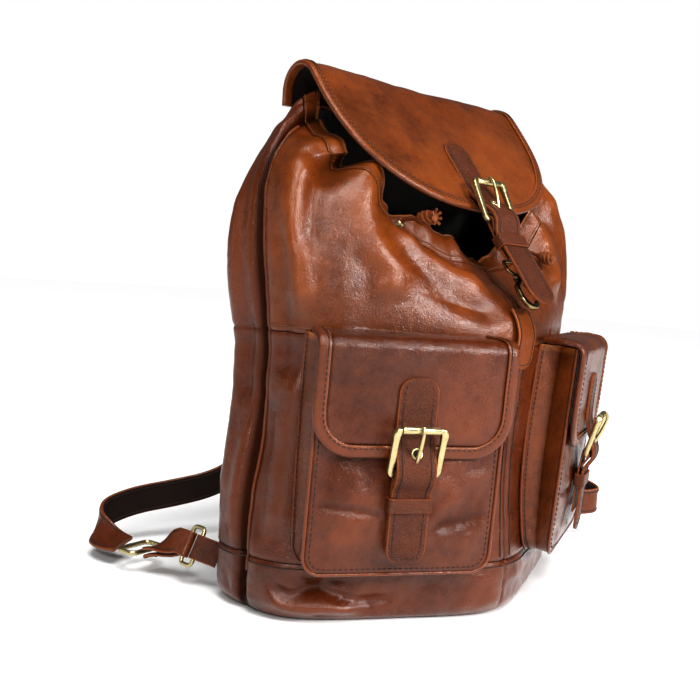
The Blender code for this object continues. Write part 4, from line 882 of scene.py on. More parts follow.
def make_pocket(side, sign):
    place, half = pocket_frame(sign), POCKET_W / 2
    seed = 2.0 if side == "left" else 6.0

    rows = np.concatenate((POCKET_CORNER * (1 - np.cos(np.linspace(0, math.pi / 2, 14))),
                           np.linspace(POCKET_CORNER, POCKET_H, 90)[1:]))
    cols = np.sin(np.linspace(-math.pi / 2, math.pi / 2, 100) * 0.98) / math.sin(math.pi / 2 * 0.98)
    low = np.clip(POCKET_CORNER - rows, 0, None)
    edge = half - POCKET_CORNER + np.sqrt(POCKET_CORNER ** 2 - low ** 2)
    x = edge[:, None] * cols[None]
    y = np.broadcast_to(rows[:, None], x.shape)
    rise, relief = pocket_height(x, y, seed)
    border = np.minimum(edge[:, None] - np.abs(x), y)
    roll = 0.0012 * (1 - smoothstep(border / 0.003))
    outer = at_frame(place, np.stack((x, y, POCKET_D + rise - roll), axis=-1))
    inner = at_frame(place, np.stack((x, y, POCKET_D + rise * 0.6 - 0.0022), axis=-1))
    # Painted highlight on the front's bulges; painted shade in its creases, along its border where it rolls in to the
    # piping, and flat on its inner face
    wear_and_highlight = np.clip(relief / 0.002, 0, 1) * 0.7
    dark_tone_and_shade = np.clip(-relief / 0.002, 0, 1) * 0.35 + (1 - smoothstep(border / 0.0025)) * 0.5
    verts, faces, _ = sheet_solid(outer, inner)
    add_piece("pocket_face_" + side, verts, faces, "russet_leather", BAG, ("pocket_front_" + side,),
              marks={"wear_and_highlight": outer_inner(wear_and_highlight, 0), "dark_tone_and_shade": outer_inner(dark_tone_and_shade, 0.6)})

    # Gusset with its inward fold
    outline = u_outline(half, POCKET_H, POCKET_CORNER)
    inward = unit(np.stack((-np.gradient(outline[:, 1]), np.gradient(outline[:, 0])), axis=1))
    back = np.maximum(wall_depth(place, outline[:, 0], np.minimum(outline[:, 1], 0.158)) + 0.0006, -0.02)
    run = lengths(outline)
    depth = np.linspace(0, 1, 34)[:, None]
    z = back + (POCKET_D - 0.0006 - back) * depth
    foot = smoothstep(outline[:, 1] / 0.05)
    fold = 0.0012 + 0.0050 * foot + 0.003 * smoothstep((outline[:, 1] - 0.11) / 0.05)
    shape = np.maximum(0, 1 - np.abs(depth - 0.52) / 0.46) ** 1.3
    wave = np.stack((run[None] + 0 * depth, depth * 0.05 + 0 * run[None], np.full((34, len(run)), seed)), axis=-1)
    ripple = 0.0011 * cloud(wave, 0.030, seed + 1) * np.sin(math.pi * depth) * smoothstep(outline[:, 1] / 0.02)
    sag = -fold * shape + ripple
    outer_xy = outline[None] - inward[None] * sag[..., None]
    inner_xy = outline[None] - inward[None] * (sag[..., None] - 0.0018)
    outer = at_frame(place, np.dstack((outer_xy, z)))
    inner = at_frame(place, np.dstack((inner_xy, z)))
    # Painted shade deepest in the middle of the inward fold and flat on the inner face; painted highlight where the
    # gusset ripples outward
    dark_tone_and_shade = np.clip(shape ** 6, 0, 1) * 0.6 + 0 * run[None]
    verts, faces, _ = sheet_solid(outer, inner)
    edge_mark = np.zeros((2,) + dark_tone_and_shade.shape)
    edge_mark[:, :, 0] = 0.9
    edge_mark[:, :, -1] = 0.9
    marks = {"dark_tone_and_shade": outer_inner(dark_tone_and_shade, 0.7), "edge": edge_mark.ravel(),
             "wear_and_highlight": outer_inner(np.clip(sag / 0.001, 0, 1) * 0.5, 0)}
    add_piece("pocket_side_" + side, verts, faces, MATERIALS["tan_leather"], BAG, ("pocket_gusset_" + side,),
              "russet_leather", marks=marks)

    # Piped seams at the bag and round the front, and the stitches beside them
    back_line = at_frame(place, np.column_stack((outline - inward * -0.0002, back + 0.0008)))
    front_line = at_frame(place, np.column_stack((outline, np.full(len(outline), POCKET_D - 0.0006))))
    for label, line in (("bag", back_line), ("front", front_line)):
        # The piping is painted paler all along its length: painted highlight on the raised bead
        add_tube("pocket_piping_%s_%s" % (label, side), line, 0.0013, MATERIALS["russet_leather"], BAG, 10,
                 marks={"wear_and_highlight": np.full(len(line) * 10, 0.8)})
    inset = outline + inward * 0.0042
    keep = inset[:, 1] < POCKET_H - FLAP_DROP + 0.02
    rise, _ = pocket_height(inset[:, 0], inset[:, 1], seed)
    seam = at_frame(place, np.column_stack((inset, POCKET_D + rise + 0.0001)))[keep]
    side_seam = at_frame(place, np.column_stack((outline - inward * 0.0003, back + 0.0040)))
    add_stitches("pocket_stitches_" + side,
                 [(seam, np.broadcast_to(turned(place, (0, 0, 1)), seam.shape)),
                  (side_seam, -np.column_stack((inward, np.zeros(len(inward)))) @ np.array(place)[:3, :3].T)], BAG)
    make_snap(side, place)
    make_pocket_flap(side, place, seed)


def make_snap(side, place):
    """Turned magnetic snap discs: the socket on the pocket and the stud under its flap."""
    y = POCKET_H - FLAP_DROP + 0.016
    socket_top = POCKET_D + FLAP_OVER - 0.0016
    for name, body, low, high, radius in (
            ("magnet_socket_" + side, BAG, POCKET_D + 0.004, socket_top + 0.0036, 0.0078),
            ("magnet_stud_" + side, "pocket_%s_flap_body" % side, socket_top + 0.0006, socket_top + 0.0013, 0.0068)):
        low = min(low, high - 0.0006)
        profile = ((0.0, low), (radius, low), (radius, high - 0.0003), (radius - 0.0004, high), (radius * 0.45, high),
                   (radius * 0.40, high - 0.0004), (0.0, high - 0.0004))
        turns = np.arange(32) * math.tau / 32
        verts = [(r * math.cos(t), y + r * math.sin(t), z) for r, z in profile[1:-1] for t in turns]
        verts += [(0, y, profile[0][1]), (0, y, profile[-1][1])]
        faces = grid_faces(len(profile) - 2, 32, True)
        bottom, top = len(verts) - 2, len(verts) - 1
        last = (len(profile) - 3) * 32
        faces += [(bottom, (k + 1) % 32, k) for k in range(32)]
        faces += [(top, last + k, last + (k + 1) % 32) for k in range(32)]
        add_piece(name + "_disc", at_frame(place, verts), faces, "steel", body, (name,))


# ---------------------------------------------------------------- flaps
class Flap:
    """A flap bent along one side view: flat pattern (x, s) plus a height h off its outer face."""

    def __init__(self, matrix, side_view):
        self.matrix = matrix
        fine = resample(np.array(side_view, float), 0.0008)
        self.line, self.run = fine, lengths(fine)
        direction = tangents(fine)
        self.normal = np.stack((direction[:, 1], -direction[:, 0]), axis=1)
        self.length = self.run[-1]

    def place(self, x, s, h):
        x, s, h = np.broadcast_arrays(np.asarray(x, float), np.asarray(s, float), np.asarray(h, float))
        y, z = (np.interp(s, self.run, self.line[:, k]) for k in (0, 1))
        ny, nz = (np.interp(s, self.run, self.normal[:, k]) for k in (0, 1))
        return at_frame(self.matrix, np.stack((x, y + ny * h, z + nz * h), axis=-1))

    def out(self, s):
        ny, nz = (np.interp(s, self.run, self.normal[:, k]) for k in (0, 1))
        return np.stack((0 * ny, ny, nz), axis=-1) @ np.array(self.matrix)[:3, :3].T


def build_flap(name, flap, outline, half_width, look, body, replaces, seed, thickness, stitch_rows):
    """A flap of two layers with a bound edge; outline runs down its left side, round its end and up again."""
    rows = flap.length * (1 - (1 - np.linspace(0, 1, 130)) ** 1.6)
    cols = np.sin(np.linspace(-math.pi / 2, math.pi / 2, 90))
    x = half_width(rows)[:, None] * cols[None]
    s = np.broadcast_to(rows[:, None], x.shape)
    p = np.stack((x, s, np.full(x.shape, seed)), axis=-1)
    edge_gap = np.minimum((half_width(rows)[:, None] - np.abs(x)), flap.length - s)
    ease = smoothstep((edge_gap - 0.006) / 0.012)
    relief = (0.0021 * cloud(p, 0.070, seed) + 0.0006 * cloud(p, 0.018, seed + 3)) * ease
    puff = 0.0006 * ease
    outer = flap.place(x, s, relief + puff)
    inner = flap.place(x, s, -thickness)
    # Painted highlight on the flap's bulges; painted shade in its hollows and as a thin line just inside the binding's
    # inner border, where the binding steps down
    wear_and_highlight = np.clip(relief / 0.001, 0, 1) * 0.6
    dark_tone_and_shade = np.clip(-relief / 0.001, 0, 1) * 0.25 + np.exp(-((edge_gap - 0.0092) / 0.0010) ** 2) * 0.8
    verts, faces, count = sheet_solid(outer, inner)
    marks = {"wear_and_highlight": outer_inner(wear_and_highlight, 0), "dark_tone_and_shade": outer_inner(np.clip(dark_tone_and_shade, 0, 1), 0)}
    add_piece(name + "_leather", verts, faces, look, body, (replaces,), marks=marks,
              extra=(FLESH, range(count, 2 * count)))

    # Binding: a strip folded over the edge, with its raw inner border, as (inset, height, how raw)
    tangent = tangents(outline)
    inward = np.stack((tangent[:, 1], -tangent[:, 0]), axis=1)
    inward *= np.sign(np.sum(inward * (np.array((0, flap.length * 0.4)) - outline), axis=1))[len(outline) // 2]
    top = 0.0013
    section = [(0.0086, 0.0003, 1), (0.0086, top - 0.0002, 1), (0.0082, top, 0.6), (0.0060, top + 0.0001, 0),
               (0.0030, top, 0), (0.0010, top - 0.0004, 0), (0.0, 0.0, 0), (-0.0005, -thickness / 2, 0),
               (0.0, -thickness - 0.0001, 0), (0.0012, -thickness - 0.0006, 0), (0.0068, -thickness - 0.0007, 0),
               (0.0072, -thickness - 0.0002, 1), (0.0040, -thickness + 0.0006, 0), (0.0010, -thickness / 2, 0),
               (0.0040, -0.0006, 0)]
    wave = np.column_stack((outline, np.full(len(outline), seed + 1)))
    wobble = 0.00025 * noise(wave, 0.010, seed)
    verts = np.stack([flap.place(outline[:, 0] + inward[:, 0] * (u + wobble),
                                 outline[:, 1] + inward[:, 1] * (u + wobble), h) for u, h, _ in section], axis=1)
    count, sides = verts.shape[:2]
    edge = np.tile([e * 0.35 for _, _, e in section], count)
    wear_and_highlight = np.tile([0.5 if 0.0005 < u < 0.004 and h > 0 else 0.15 for u, h, _ in section], count)
    add_piece(name + "_binding", verts.reshape(-1, 3), grid_faces(count, sides, True) + caps(count, sides),
              look, body, marks={"edge": edge, "wear_and_highlight": wear_and_highlight})
    paths = []
    for inset in (0.0066, 0.0040)[:stitch_rows]:
        line = resample(outline + inward * inset, 0.002)
        points = flap.place(line[:, 0], line[:, 1], top + 0.0001)
        paths.append((points, flap.out(line[:, 1])))
    add_stitches(name + "_stitches", paths, body)


def make_pocket_flap(side, place, seed):
    thickness = FLAP_T
    root_y = POCKET_H + 0.0030
    xs = np.linspace(-0.06, 0.06, 13)
    root_z = float(np.max(wall_depth(place, xs, np.full(13, 0.160)))) + 0.0022
    top_z = POCKET_D + FLAP_OVER + thickness
    bend = 0.009
    half_t = thickness / 2
    view = [(root_y + half_t, root_z), (root_y + half_t + 0.0006, (root_z + top_z) / 2)]
    for t in np.radians(np.linspace(90, 0, 13)):
        view.append((root_y + half_t - bend + bend * math.sin(t), top_z - bend + bend * math.cos(t)))
    end = POCKET_H - FLAP_DROP
    view.append((end, top_z))
    flap = Flap(place, view)
    # s at which the front's straight part would start its round corners
    corner_s = flap.length - FLAP_CORNER
    half = FLAP_W / 2

    def half_width(s):
        low = np.clip(np.asarray(s) - corner_s, 0, FLAP_CORNER)
        flare = 0.004 * (1 - smoothstep(np.asarray(s) / 0.018))
        return half - FLAP_CORNER + np.sqrt(FLAP_CORNER ** 2 - low ** 2) - flare

    down = np.linspace(0, corner_s, 40)
    left = np.column_stack((-half_width(down), down))
    arc_t = np.linspace(0, math.pi / 2, 26)[1:]
    corner = np.column_stack((-(half - FLAP_CORNER + FLAP_CORNER * np.cos(arc_t)),
                              corner_s + FLAP_CORNER * np.sin(arc_t)))
    half_path = np.vstack((left, corner))
    outline = np.vstack((half_path, half_path[::-1] * np.array((-1, 1))))
    outline = resample(outline, 0.0022)
    body = "pocket_%s_flap_body" % side
    build_flap("pocket_%s_flap" % side, flap, outline, half_width, "russet_leather", body, "pocket_%s_flap" % side,
               seed + 10, thickness, 1)
    strap = place @ Matrix.Translation((0, end - 0.010, top_z))
    make_buckled_strap("pocket_" + side, strap, 0.066, -0.064, -0.048, -0.0215, body)


def main_frame():
    down = Vector((0, -math.cos(MAIN_SLOPE), -math.sin(MAIN_SLOPE)))
    out = Vector((1, 0, 0)).cross(-down)
    return Matrix.Translation(Vector(MAIN_FOLD)) @ Matrix((Vector((1, 0, 0)), -down, out)).transposed().to_4x4()


def make_main_flap():
    thickness = FLAP_T
    place = main_frame()
    slope_up, slope_out = turned(place, (0, 1, 0)), turned(place, (0, 0, 1))
    outer_y = MAIN_HINGE_Y + thickness / 2
    view = [(outer_y, MAIN_HINGE_Z), (outer_y, MAIN_HINGE_Z + 0.008)]
    radius = 0.022
    centre_y = outer_y - radius
    centre_z = MAIN_FOLD[2] - (radius + slope_out[1] * (centre_y - MAIN_FOLD[1])) / slope_out[2]
    angle = math.atan2(slope_out[2], slope_out[1])
    for t in np.linspace(0, angle, 16):
        view.append((centre_y + radius * math.cos(t), centre_z + radius * math.sin(t)))
    start = (MAIN_FOLD - np.array((0, view[-1][0], view[-1][1]))) @ slope_up
    tip = MAIN_FOLD - slope_up * MAIN_LENGTH
    view.append((tip[1], tip[2]))
    flap = Flap(Matrix.Identity(4), view)
    slope_s = flap.length - (MAIN_LENGTH - start)

    def half_width(s):
        s = np.asarray(s, float)
        distance = start + (s - slope_s)
        straight = 0.030
        t = np.clip((distance - straight) / (MAIN_LENGTH - straight), 0, 1)
        on_slope = MAIN_HALF * (1 - np.minimum(t, 0.99995) ** 2.3) ** (1 / 2.3)
        return np.minimum(on_slope, MAIN_HALF - 0.006 * (1 - smoothstep(s / slope_s)))

    rows = flap.length * (1 - (1 - np.linspace(0, 1, 400)) ** 2.6)
    left = np.column_stack((-half_width(rows), rows))
    outline = resample(np.vstack((left, left[::-1] * np.array((-1, 1)))), 0.0025)
    build_flap("main_flap", flap, outline, half_width, "tan_leather", "main_flap_body", "main_flap", 31.0, thickness,
               2)
    strap = place @ Matrix.Translation((0, -0.1465, 0))
    make_buckled_strap("main", strap, 0.081, -0.0755, -0.034, -0.0195, "main_flap_body")
    make_clip(strap)


# ---------------------------------------------------------------- buckled strap
def strap_piece(name, points, wide, half_w, half_t, look, body, start_round=0.0, end_round=0.0, stitched=None,
                replaces=(), wear_and_highlight=0.12):
    """A strap with rounded ends, softened edges, raw cut sides and rows of stitches.

    stitched is (inset, faces), where face 1 is the side that thin points to and -1 the other.
    """
    points = resample(points, 0.0016)
    wide = np.asarray(wide, float)
    run = lengths(points)
    scale = np.ones(len(points))
    for radius, gap in ((start_round, run), (end_round, run[-1] - run)):
        if radius:
            t = np.clip(1 - gap / radius, 0, 1)
            scale *= (half_w - radius + radius * np.sqrt(1 - np.minimum(t, 0.985) ** 2)) / half_w
    section = rounded_section(half_w, half_t, half_t * 0.55)
    verts, faces = sweep(points, wide, section, scale=scale)
    side = np.abs(section[:, 0]) > half_w - half_t * 0.56
    edge = np.tile(side * 0.60, len(points))
    worn = np.clip(wear_and_highlight + 0.30 * np.repeat(cloud(points, 0.012, 9.0), len(section)), 0, 1)
    add_piece(name, verts, faces, look, body, replaces, marks={"edge": edge, "wear_and_highlight": worn, "dark_tone_and_shade": worn * 0.3})
    if not stitched:
        return
    inset, stitched_faces = stitched
    wide, thin = strap_axes(points, wide)
    keep = (run > inset) & (run < run[-1] - inset)
    reach = (half_w * scale - inset)[:, None]
    paths = []
    for face in stitched_faces:
        left, right = ((points + wide * reach * edge_side + thin * (face * half_t))[keep] for edge_side in (1, -1))
        normals = thin[keep] * face
        if end_round:
            paths.append((np.vstack((left, right[::-1])), np.vstack((normals, normals[::-1]))))
        else:
            paths += [(left, normals), (right, normals)]
    add_stitches(name + "_stitches", paths, body)


def arc(centre, radius, start, end, steps):
    t = np.radians(np.linspace(start, end, steps + 1))
    return [(centre[0] + radius * math.cos(a), centre[1] + radius * math.sin(a)) for a in t]


def make_buckled_strap(prefix, place, top, tip, chape_tail, keeper_y, body):
    wide, up = turned(place, (1, 0, 0)), turned(place, (0, 1, 0))
    roller_y = FRAME_LEN * math.cos(FRAME_TILT)
    roller_z = BAR_Z + FRAME_LEN * math.sin(FRAME_TILT)

    def along(points):
        return at_frame(place, [(0, y, z) for y, z in points])

    low = BILLET_T / 2 + GAP
    over = BAR_Z + BAR_R + GAP + CHAPE_T + 2 * GAP + BILLET_T / 2 + 0.0006
    on_tail = 0.0048
    line = [(top, low), (top * 0.75, low), (roller_y + 0.008, low), (roller_y, low + 0.0002),
            (roller_y - 0.006, low + 0.0012), (0.019, 0.0048), (0.012, 0.0080), (0.004, over),
            (-0.002, over - 0.0003), (-0.0065, 0.0086), (-0.0105, on_tail + 0.0010), (-0.016, on_tail),
            (-0.028, on_tail), (tip * 0.7, on_tail), (tip, on_tail - 0.0004)]
    look = "strap_leather"
    strap_piece(prefix + "_billet_strap", along(catmull(line, 8)), wide, STRAP_W / 2, BILLET_T / 2, look, body,
                0.011, 0.012, (0.0040, (1,)), (prefix + "_billet",))
    make_billet_eyelet(prefix, place, body)

    wrap, under = BAR_R + GAP + CHAPE_T / 2, GAP + CHAPE_T / 2
    line = [(chape_tail, under), (chape_tail * 0.5, under), (-0.012, under + 0.0003)]
    line += arc((0, BAR_Z), wrap, -105, 120, 18)
    line += [(-0.0052, BAR_Z + 0.0006), (-0.0095, under + CHAPE_T + GAP + 0.0004)]
    strap_piece(prefix + "_chape_strap", along(line), wide, STRAP_W / 2 - 0.0006, CHAPE_T / 2, look, body,
                replaces=(prefix + "_chape",))

    half = STRAP_W / 2 + GAP + KEEPER_T / 2
    foot, crest = -KEEPER_T / 2, on_tail + BILLET_T / 2 + GAP + KEEPER_T / 2
    loop = at_frame(place, [(x, keeper_y, z) for x, z in rounded_loop(-half, half, foot, crest, 0.0014, 5)])
    section = rounded_section(0.0050, KEEPER_T / 2, KEEPER_T * 0.3)
    verts, faces = sweep(loop, up, section, closed=True)
    edge = np.tile((np.abs(section[:, 0]) > 0.0046) * 0.7, len(loop))
    add_piece(prefix + "_keeper_loop", verts, faces, look, body, (prefix + "_keeper",),
              marks={"edge": edge, "wear_and_highlight": np.full(len(edge), 0.3)})

    make_buckle(prefix, place, wide, roller_y, roller_z)


def make_billet_eyelet(prefix, place, body):
    """Brass ring in the billet, where the prong comes out below the roller, and a near-black disc painted in as the
    shade of the hole.
    """
    centre, normal = np.array((0, 0.0148, 0.0068)), np.array((0, 0.416, 0.909))
    slope = np.array((0, 0.909, -0.416))
    t = np.arange(36)[:, None] * math.tau / 36
    circle = np.cos(t) * np.array((1.0, 0, 0)) + np.sin(t) * slope
    loop = at_frame(place, centre + normal * 0.0013 + 0.0034 * circle)
    verts, faces = sweep(loop, turned(place, normal), round_bar(0.0009, 12), closed=True)
    add_piece(prefix + "_billet_eyelet", verts, faces, "antique_brass", body)
    # A near-black disc of flesh leather stands in for the hole: painted shade, not a cut
    hole_shade_disc = np.vstack([centre + normal * depth + 0.0026 * circle for depth in (0.0006, 0.0014)])
    add_piece(prefix + "_billet_hole_shade_disc", at_frame(place, hole_shade_disc), grid_faces(2, 36, True) + caps(2, 36), FLESH, body)


def make_buckle(prefix, place, wide, roller_y, roller_z):
    tilt = place @ Matrix.Translation((0, 0, BAR_Z)) @ Matrix.Rotation(FRAME_TILT, 4, "X")
    loop = rounded_loop(-FRAME_HALF, FRAME_HALF, 0, FRAME_LEN, RING_CORNER, 9, 0.0010)
    loop = np.column_stack((loop, np.zeros(len(loop))))
    arm = smoothstep((np.abs(loop[:, 0]) - (FRAME_HALF - RING_CORNER) + 0.0008) / 0.0030)
    top = smoothstep((loop[:, 1] - FRAME_LEN * 0.72) / 0.006)
    broad = AXLE_R + (0.0023 - AXLE_R) * arm + 0.0004 * arm * top
    deep = AXLE_R + (0.0021 - AXLE_R) * arm + 0.0005 * arm * top
    angles = np.arange(20) * math.tau / 20
    round_xy = np.stack((np.cos(angles), np.sin(angles)), axis=1)
    boxy = np.sign(round_xy) * np.abs(round_xy) ** 0.55
    shape = round_xy[None] * (1 - arm[:, None, None]) + boxy[None] * arm[:, None, None]
    section = shape * np.stack((deep, broad), axis=1)[:, None]
    verts, faces = sweep(at_frame(tilt, loop), turned(tilt, (0, 0, 1)), section, closed=True)
    add_piece(prefix + "_buckle_brass", verts, faces, "antique_brass", prefix + "_buckle",
              (prefix + "_buckle_frame",))

    # Roller with turned ends
    axle = at_frame(tilt, (0, FRAME_LEN, 0))
    half = FRAME_HALF - 0.0032 - 0.0004
    profile = ((-half, 0.0018), (-half, ROLLER_R - 0.0003), (-half + 0.0004, ROLLER_R), (0, ROLLER_R - 0.0001),
               (half - 0.0004, ROLLER_R), (half, ROLLER_R - 0.0003), (half, 0.0018))
    verts, faces = lathe(axle, wide, (0, 0, 1.0), profile)
    add_piece(prefix + "_roller_brass", verts, faces, "antique_brass", prefix + "_roller_body",
              (prefix + "_roller",))

    # Prong, from its eye round the bar to its tip on the roller
    eye = BAR_R + GAP + PRONG_R
    line = arc((0, BAR_Z), eye, -60, -290, 20)
    line += [(0.0060, 0.0072), (0.0095, 0.0086), (0.0140, 0.0112), (0.0210, roller_z + 0.0020),
             (roller_y - 0.0030, roller_z + ROLLER_R + GAP + PRONG_R + 0.0004),
             (roller_y, roller_z + ROLLER_R + GAP + PRONG_R + 0.0002),
             (roller_y + 0.0030, roller_z + ROLLER_R + PRONG_R - 0.0004)]
    points = resample(catmull(at_frame(place, [(0, y, z) for y, z in line]), 3), 0.0008)
    taper = 1 - 0.25 * smoothstep((lengths(points) / lengths(points)[-1] - 0.55) / 0.45)
    section = round_bar(PRONG_R * 1.35, 16)[None] * taper[:, None, None]
    verts, faces = sweep(points, wide, section)
    add_piece(prefix + "_prong_brass", verts, faces, "antique_brass", prefix + "_prong_body", (prefix + "_prong",))


def make_clip(strap):
    out = turned(strap, (0, 0, 1))
    depth, bar_y = -0.0062, -0.030
    look = "dark_brass"
    line = [(0.0070, bar_y), (-0.0070, bar_y), (-0.0070, bar_y - 0.0080), (-0.0022, bar_y - 0.0120),
            (0.0022, bar_y - 0.0120), (0.0070, bar_y - 0.0080)]
    loop = np.array([(x, y, depth) for x, y in line])
    loop = resample(np.vstack((loop, loop[:1])), 0.0008)[:-1]
    for _ in range(3):
        loop = 0.5 * loop + 0.25 * (np.roll(loop, 1, axis=0) + np.roll(loop, -1, axis=0))
    verts, faces = sweep(at_frame(strap, loop), out, round_bar(0.0013, 14), closed=True)
    add_piece("clip_eye_brass", verts, faces, look, "clip_eye_body", ("clip_eye",))
    hook = [(0.0, bar_y - 0.0137), (0.0, bar_y - 0.0170), (-0.0030, bar_y - 0.0200), (-0.0068, bar_y - 0.0235),
            (-0.0080, bar_y - 0.0290), (-0.0076, bar_y - 0.0350), (-0.0045, bar_y - 0.0400),
            (0.0, bar_y - 0.0415), (0.0045, bar_y - 0.0400), (0.0070, bar_y - 0.0365)]
    radii = [0.0030, 0.0028, 0.0021, 0.0019, 0.0019, 0.0019, 0.0020, 0.0020, 0.0018, 0.0015]
    points = catmull([(x, y, depth) for x, y in hook], 5)
    radius = np.interp(np.linspace(0, 1, len(points)), np.linspace(0, 1, len(radii)), radii)
    verts, faces = sweep(at_frame(strap, points), out, round_bar(1.15, 16)[None] * radius[:, None, None])
    add_piece("clip_hook_brass", verts, faces, look, "clip_hook_body", ("clip_hook",))
    gate = [(0.0035, bar_y - 0.0200), (0.0058, bar_y - 0.0250), (0.0074, bar_y - 0.0300), (0.0078, bar_y - 0.0340)]
    points = at_frame(strap, catmull([(x, y, depth) for x, y in gate], 6))
    verts, faces = sweep(points, out, round_bar(1.0, 12) * np.array((0.0012, 0.0010)))
    add_piece("clip_gate_brass", verts, faces, look, "clip_gate_body", ("clip_gate",))


def make_clip_tab():
    z = np.array((0.188, 0.196, 0.2048))
    low = plan_point(np.full(3, CENTRE), z) + np.array((0, -0.0017, 0))
    v = np.array((0.10, 0.20, 0.30, 0.38))
    turn = np.full(4, CENTRE)
    high = skin(turn, v) + skin_normal(turn, v) * 0.0017
    points = catmull(np.vstack((low, high))[::-1], 8)
    strap_piece("clip_tab_leather", points, (1, 0, 0), 0.0100, 0.0010, "tan_leather", BAG, 0, 0.0090,
                (0.0022, (1, -1)), ("clip_tab",), 0.6)


# ---------------------------------------------------------------- drawcord
CORD_R, HEM = 0.0015, 0.0046
EYELET_TURNS = {"left": math.radians(-128), "right": math.radians(-52)}


def hem_middle(turn):
    return 0.5 * (1 + hem_start(turn))


def make_drawcord():
    """The cord runs inside the neck and comes out through an eyelet on each side of the front."""
    ends, tips = [], []
    for side in ("left", "right"):
        turn = EYELET_TURNS[side]
        out, p = skin_normal(turn, hem_middle(turn)), body_point(turn, hem_middle(turn))
        drop = np.array((-0.003, -0.010, -0.004)) if side == "left" else np.array((0.004, -0.014, -0.010))
        tip = p + out * 0.011 + drop
        ends.append([p - out * (HEM + 0.0048), p - out * (HEM + 0.0018), p, p + out * 0.004, tip])
        tips.append((tip, unit(tip - p - out * 0.004)))
        profile = ((-0.0050, 0.0034), (0.0002, 0.0036), (0.0010, 0.0033), (0.0013, 0.0028), (0.0008, 0.0022),
                   (-0.0050, 0.0021))
        verts, faces = lathe(p, out, (0.2, 0.1, 0.97), profile)
        add_piece("eyelet_brass_" + side, verts, faces, "antique_brass", BAG, ("drawcord_eyelet_" + side,))
    start, end = EYELET_TURNS["left"] + math.tau, EYELET_TURNS["right"]
    ring = [body_point(turn, hem_middle(turn), HEM + 0.0040) for turn in np.linspace(start, end, 120)[2:-2]]
    route = np.vstack((ends[0][::-1], ring, ends[1]))
    curve = bpy.data.curves.new("drawcord_cord", "CURVE")
    curve.dimensions = "3D"
    curve.bevel_depth = CORD_R
    curve.bevel_resolution = 4
    curve.use_fill_caps = True
    spline = curve.splines.new("POLY")
    spline.points.add(len(route) - 1)
    for point, p in zip(spline.points, route):
        point.co = (*p, 1.0)
    curve.materials.append(MATERIALS["cord_leather"])
    cord = bpy.data.objects.new("drawcord_cord", curve)
    bpy.context.scene.collection.objects.link(cord)
    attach(cord, BAG)
    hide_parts("drawcord")

    # The left end is a knot of folded strips with cut ends; the right end is a wrapped toggle
    for (tip, along), name, length, radius in ((tips[0], "drawcord_knot_left", 0.017, 0.0056),
                                               (tips[1], "drawcord_toggle_right", 0.013, 0.0050)):
        across = unit(np.cross(along, (0.1, 0.3, 0.95)))
        third = np.cross(along, across)
        parts = []
        t = np.linspace(0, 1, 22)
        bulge = radius * (0.50 + 0.36 * np.sin(math.pi * t))
        core = tip + along * (0.0006 + length * t[:, None])
        parts.append(sweep(core, across, round_bar(1.0, 16)[None] * bulge[:, None, None]))
        for k in range(3):
            a = math.tau * (k / 3 + t * 1.4)
            line = core + (across * np.cos(a)[:, None] + third * np.sin(a)[:, None]) * (bulge * 0.92)[:, None]
            parts.append(sweep(line[1:-1], along, np.array(rounded_section(0.0016, 0.0012, 0.0009))))
        if "knot" in name:
            for k in range(7):
                a = math.tau * k / 7 + 0.4
                side = across * math.cos(a) + third * math.sin(a)
                foot = tip + along * length * 0.86 + side * radius * 0.42
                line = [foot, foot + along * 0.0026 + side * 0.0009,
                        foot + along * 0.0052 + side * (0.0022 + 0.0006 * (k % 3))]
                parts.append(sweep(catmull(line, 4), third, rounded_section(0.0011, 0.0006, 0.0004)))
        verts, faces = join(parts)
        shade = 0.5 + 0.5 * np.sin(np.arange(len(verts)) * 0.7)
        add_piece(name + "_wrapped", verts, faces, "cord_leather", BAG, (name,),
                              marks={"wear_and_highlight": shade * 0.6})


# ---------------------------------------------------------------- straps
SHOULDER_W, SHOULDER_T, LOWER_T = 0.025, 0.0032, 0.0022
RING_R, RING_LONG, RING_SHORT = 0.0017, 0.0300, 0.0120
SLIDE_HALVES, SLIDE_CORNER = (0.0165, 0.0085), 0.0050
LEFT_ROUTE = (
    (-0.0320, 0.0900, 0.286), (-0.0340, 0.0985, 0.255), (-0.0380, 0.1120, 0.205),
    (-0.0420, 0.1300, 0.150), (-0.0450, 0.1500, 0.100), (-0.0520, 0.1710, 0.066),
    (-0.0700, 0.1870, 0.049), (-0.1000, 0.1990, 0.041), (-0.1350, 0.2060, 0.036),
    (-0.1650, 0.2030, 0.0295), (-0.1810, 0.1880, 0.022), (-0.1825, 0.1700, 0.0175),
    (-0.1770, 0.1530, 0.0160),
)
LEFT_ACROSS = (
    (-1, 0, 0), (-1, 0, 0), (-1, 0, 0), (-1, 0, 0.1), (-0.95, 0, 0.35), (-0.75, 0, 0.7),
    (-0.35, 0, 0.95), (0, 0, 1), (0, 0, 1), (0.15, 0.1, 0.98), (0.45, 0.2, 0.85), (0.8, 0.25, 0.5),
    (0.95, 0.3, 0.2),
)
LEFT_RING, LEFT_ADJUSTER = np.array((-0.1580, 0.0790, 0.0300)), np.array((-0.1715, 0.1385, 0.0165))
RIGHT_ROUTE = (
    (0.0320, 0.0900, 0.286), (0.0370, 0.1010, 0.250), (0.0480, 0.1180, 0.200),
    (0.0700, 0.1370, 0.150), (0.1050, 0.1500, 0.112), (0.1500, 0.1490, 0.088),
    (0.1980, 0.1290, 0.072), (0.2400, 0.0950, 0.061), (0.2700, 0.0580, 0.051),
    (0.2850, 0.0260, 0.043), (0.2860, 0.0090, 0.038), (0.2770, 0.0075, 0.036),
    (0.2560, 0.0200, 0.034), (0.2330, 0.0345, 0.0325),
)
